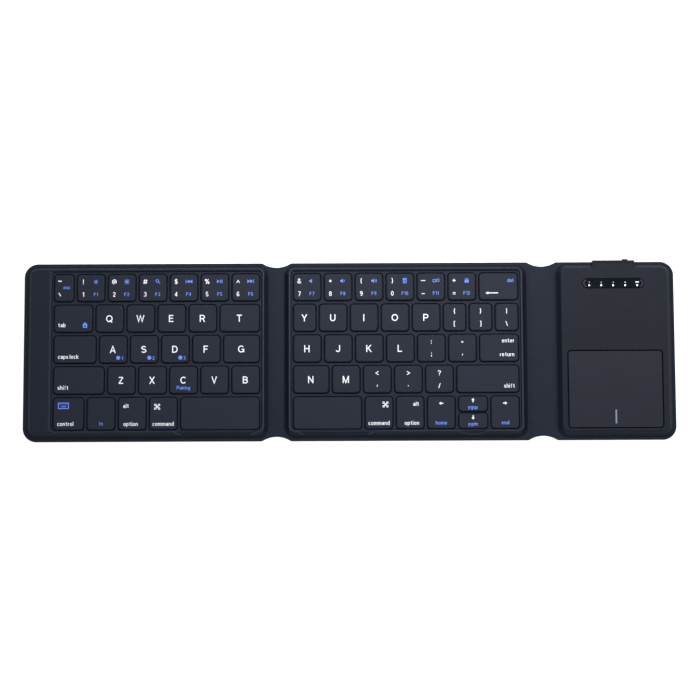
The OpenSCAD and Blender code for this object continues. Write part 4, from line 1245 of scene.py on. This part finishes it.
def indicator_window():
    """Smoked scoop in the deck with five lamps and a small sign over each; its curved ends carry a painted
    glint.
    """
    build = Build()
    floor_z = window_high.z
    rim_z = TOP_Z - 0.1
    loops = [at(window_outline(0), window_low.z), at(window_outline(0), rim_z - 0.02)]
    for inset in (0.15, 0.35, 0.6, 0.9, 1.2, 1.5, 1.8, 2.1, 2.4):
        loops.append(at(window_outline(inset), floor_z + (rim_z - floor_z) * (1 - smooth(inset / SCOOP_W))))
    made = build.skin(loops)
    build.cap(made[0])
    build.cap(made[-1])
    piece = build.done("lamp_window", WINDOW_PLASTIC, up=True)
    piece.data.materials.append(WINDOW_END_GLINT)
    # Painted glint: lighter material on the scoop's curved ends
    middle, half = (window_low + window_high) / 2, (window_high - window_low) / 2
    for face in piece.data.polygons:
        x, y, _ = (c / MM for c in face.center)
        dx = abs(x - middle.x)
        inset = half.y - math.hypot(dx - half.x + half.y, y - middle.y)
        if dx > half.x - 0.75 * half.y and 0.35 < inset < 1.0:
            face.material_index = 1
    attach(piece, "right_panel", "indicator_window", "indicator_window")

    lamp_low, lamp_high = box_mm("indicator_lamps")
    pitch = (lamp_high.x - lamp_low.x - LAMP_W) / 4
    lamp_y, sign_y = window_low.y + LAMP_LINE, window_low.y + SIGN_LINE
    base = floor_z + 0.02
    signs = []
    for i, sign in enumerate(("1", "2", "3", "A", "battery")):
        x = lamp_low.x + LAMP_W / 2 + i * pitch
        build = Build()
        angles = [math.radians(LENS_ANGLE * k / 3) for k in range(4)]
        rings = [at(disc(x, lamp_y, LENS_R * math.cos(a)), base + LENS_H * math.sin(a)) for a in angles]
        build.cap(build.skin(rings)[-1])
        attach(build.done("lamp_%d" % (i + 1), LAMP_GLOW, up=True), "right_panel", "lamps")
        kind, height = ("icon", 0.8) if sign == "battery" else ("mark", 1.05)
        signs.append(placed_ink((kind, sign, 0.5, 0.5, height, "white"), x, x, sign_y, sign_y))
    ink_piece("lamp_signs", "right_panel", signs, base, SIGN_INK, "legend_white")


def tongue():
    """Raised bridge from the deck to the rear edge, open at the back for the port and the slider."""
    x0, x1 = TONGUE_X
    y0, y1 = CREST_Y - 1.2, PANEL_Y
    r = 0.6
    base = SKIN_Z + 0.02

    def section(y, top, side, flare=1.0):
        """Arch from the left foot over the top to the right foot; the feet flare out."""
        half = [(-flare, base), (-0.62 * flare, base + 0.9), (-0.25 * flare, base + 2.2)]
        half += [(x, TOP_Z - top - drop) for x, drop in round_edge(r, 5)]
        half = [(x0 + side + x, z) for x, z in half]
        return [(x, y, z) for x, z in half + [(x0 + x1 - x, z) for x, z in reversed(half)]]

    build = Build()
    loops = [section(y0, 0, 0), section(y1 - 3, 0, 0), section(y1 - 1.7, 0.04, 0.02)]
    loops += [section(y1 - 1.0, 0.2, 0.1), section(y1 - 0.5, 0.46, 0.25), section(y1 - 0.15, 0.74, 0.45)]
    loops.append(section(y1, 0.92, 0.6))
    loops += [section(y, TONGUE_WALL, TONGUE_WALL, 0.0) for y in (y1, y1 - 6)]
    build.skin(loops, closed=False)
    attach(build.done("rear_tongue", DECK_LEATHER, up=True), "right_panel", "covering")


def rear_plate():
    """Housing wall in the tongue's mouth, with the openings for the port and the slider."""
    inset, depth = 0.98, 1.1
    y = PANEL_Y - 0.12
    outer = rounded_rect(TONGUE_X[0] + inset, TONGUE_X[1] - inset, SKIN_Z + 0.02, TOP_Z - inset, 0.3)
    port = box_outline(port_low, port_high, -0.05, (port_high.z - port_low.z) / 2, 10, "z")
    slot = box_outline(slider_low - Vector((SLIDER_TRAVEL, 0, 0)), slider_high, -0.1, 0.2, up="z")
    build = Build()
    fronts = []
    for outline in (outer, port, slot):
        fronts.append(build.skin([[(x, back, z) for x, z in outline] for back in (y - depth, y)])[-1])
    build.fill(fronts)
    attach(build.done("rear_plate", DECK_PLASTIC, False), "right_panel", "housing")


def slider():
    """Slider with a ribbed knob."""
    build = Build()
    y0, y1 = slider_low.y, slider_high.y

    def ring(inset, y):
        return [(x, y, z) for x, z in box_outline(slider_low, slider_high, inset, 0.18, up="z")]

    loops = [ring(0.1, y0), ring(0.0, y0 + 0.1)]
    y = PANEL_Y + 0.15
    while y < y1 - 0.15:
        loops += [ring(0.0, y), ring(0.07, y + 0.05), ring(0.07, y + 0.1), ring(0.0, y + 0.15)]
        y += 0.25
    loops += [ring(0.0, y1 - 0.1), ring(0.1, y1)]
    made = build.skin(loops)
    build.cap(made[0])
    build.cap(made[-1])
    attach(build.done("slider_knob", SLIDER_PLASTIC, False), "power_slider", "slider_plastic", "power_slider")


right_deck()
touchpad()
indicator_window()
slider()
tongue()
rear_plate()

# ---------- Floor, light and camera ----------


# Width and height of the floor, in metres
FLOOR_W, FLOOR_Z = 8.0, -0.0002
FLOOR_GLOW = 0.75
WORLD_LIGHT = 0.2


def seen_rays(tree):
    """1 for rays that show the floor or world to the eye, and 0 for those that light the object."""
    path = shader_node(tree, "LightPath")
    level = path.outputs["Is Camera Ray"]
    for kind in ("Is Glossy Ray", "Is Transmission Ray"):
        larger = shader_node(tree, "Math", operation="MAXIMUM")
        tree.links.new(level, larger.inputs[0])
        tree.links.new(path.outputs[kind], larger.inputs[1])
        level = larger.outputs["Value"]
    return level


def floor():
    """Pale floor that keeps the shadow and shows as white."""
    mesh = bpy.data.meshes.new("floor")
    mesh.from_pydata(at(bar(0, 0, FLOOR_W, FLOOR_W), FLOOR_Z), [], [(0, 1, 2, 3)])
    material = bpy.data.materials.new("floor_paint")
    material.use_nodes = True
    tree = material.node_tree
    join = tree.links.new
    tree.nodes.clear()
    diffuse = shader_node(tree, "BsdfDiffuse", {"Color": (0.6, 0.6, 0.6, 1)})
    strength = shader_node(tree, "Math", {1: FLOOR_GLOW}, operation="MULTIPLY")
    glow = shader_node(tree, "Emission")
    both = shader_node(tree, "AddShader")
    join(seen_rays(tree), strength.inputs[0])
    join(strength.outputs["Value"], glow.inputs["Strength"])
    join(diffuse.outputs["BSDF"], both.inputs[0])
    join(glow.outputs["Emission"], both.inputs[1])
    join(both.outputs["Shader"], shader_node(tree, "OutputMaterial").inputs["Surface"])
    mesh.materials.append(material)
    link(mesh, "floor")


def world():
    """White where it is seen, and a dim light on the object."""
    made = bpy.data.worlds.new("studio")
    made.use_nodes = True
    tree = made.node_tree
    background = tree.nodes["Background"]
    background.inputs["Color"].default_value = (1, 1, 1, 1)
    level = shader_node(tree, "MapRange", {"To Min": WORLD_LIGHT, "To Max": 1.0})
    tree.links.new(seen_rays(tree), level.inputs["Value"])
    tree.links.new(level.outputs["Result"], background.inputs["Strength"])
    bpy.context.scene.world = made


def softbox(name, place, aim, size, power):
    light = bpy.data.lights.new(name, "AREA")
    light.shape = "RECTANGLE"
    light.size, light.size_y = size
    light.energy = power
    obj = link(light, name)
    obj.location = place
    obj.rotation_euler = (Vector(aim) - Vector(place)).to_track_quat("-Z", "Y").to_euler()
    obj.visible_camera = False


def camera():
    """Camera above the front edge, looking down along +Y."""
    distance, elevation, roll = 1.8, math.radians(79.02), math.radians(0.238)
    target = Vector((-28.83 * MM, 0.42 * MM, 3 * MM))
    image_px, focal_px, sensor_mm = 700, 3487.9, 36.0
    data = bpy.data.cameras.new("camera")
    data.sensor_width = sensor_mm
    data.lens = focal_px * sensor_mm / image_px
    data.clip_end = 20
    obj = link(data, "camera")
    obj.location = target + distance * Vector((0, -math.cos(elevation), math.sin(elevation)))
    tilt = Matrix.Rotation(math.pi / 2 - elevation, 4, "X")
    obj.rotation_euler = (tilt @ Matrix.Rotation(-roll, 4, "Z")).to_euler()
    bpy.context.scene.camera = obj


floor()
world()
softbox("key_softbox", place=(0.25, -0.4, 2.1), aim=(0, 0, 0), size=(0.5, 0.5), power=20)
softbox("sheen_softbox", place=(0.04, 0.145, 0.28), aim=(0.03, 0.03, 0), size=(0.42, 0.05), power=1.15)
camera()

bpy.context.scene.view_settings.view_transform = "Standard"
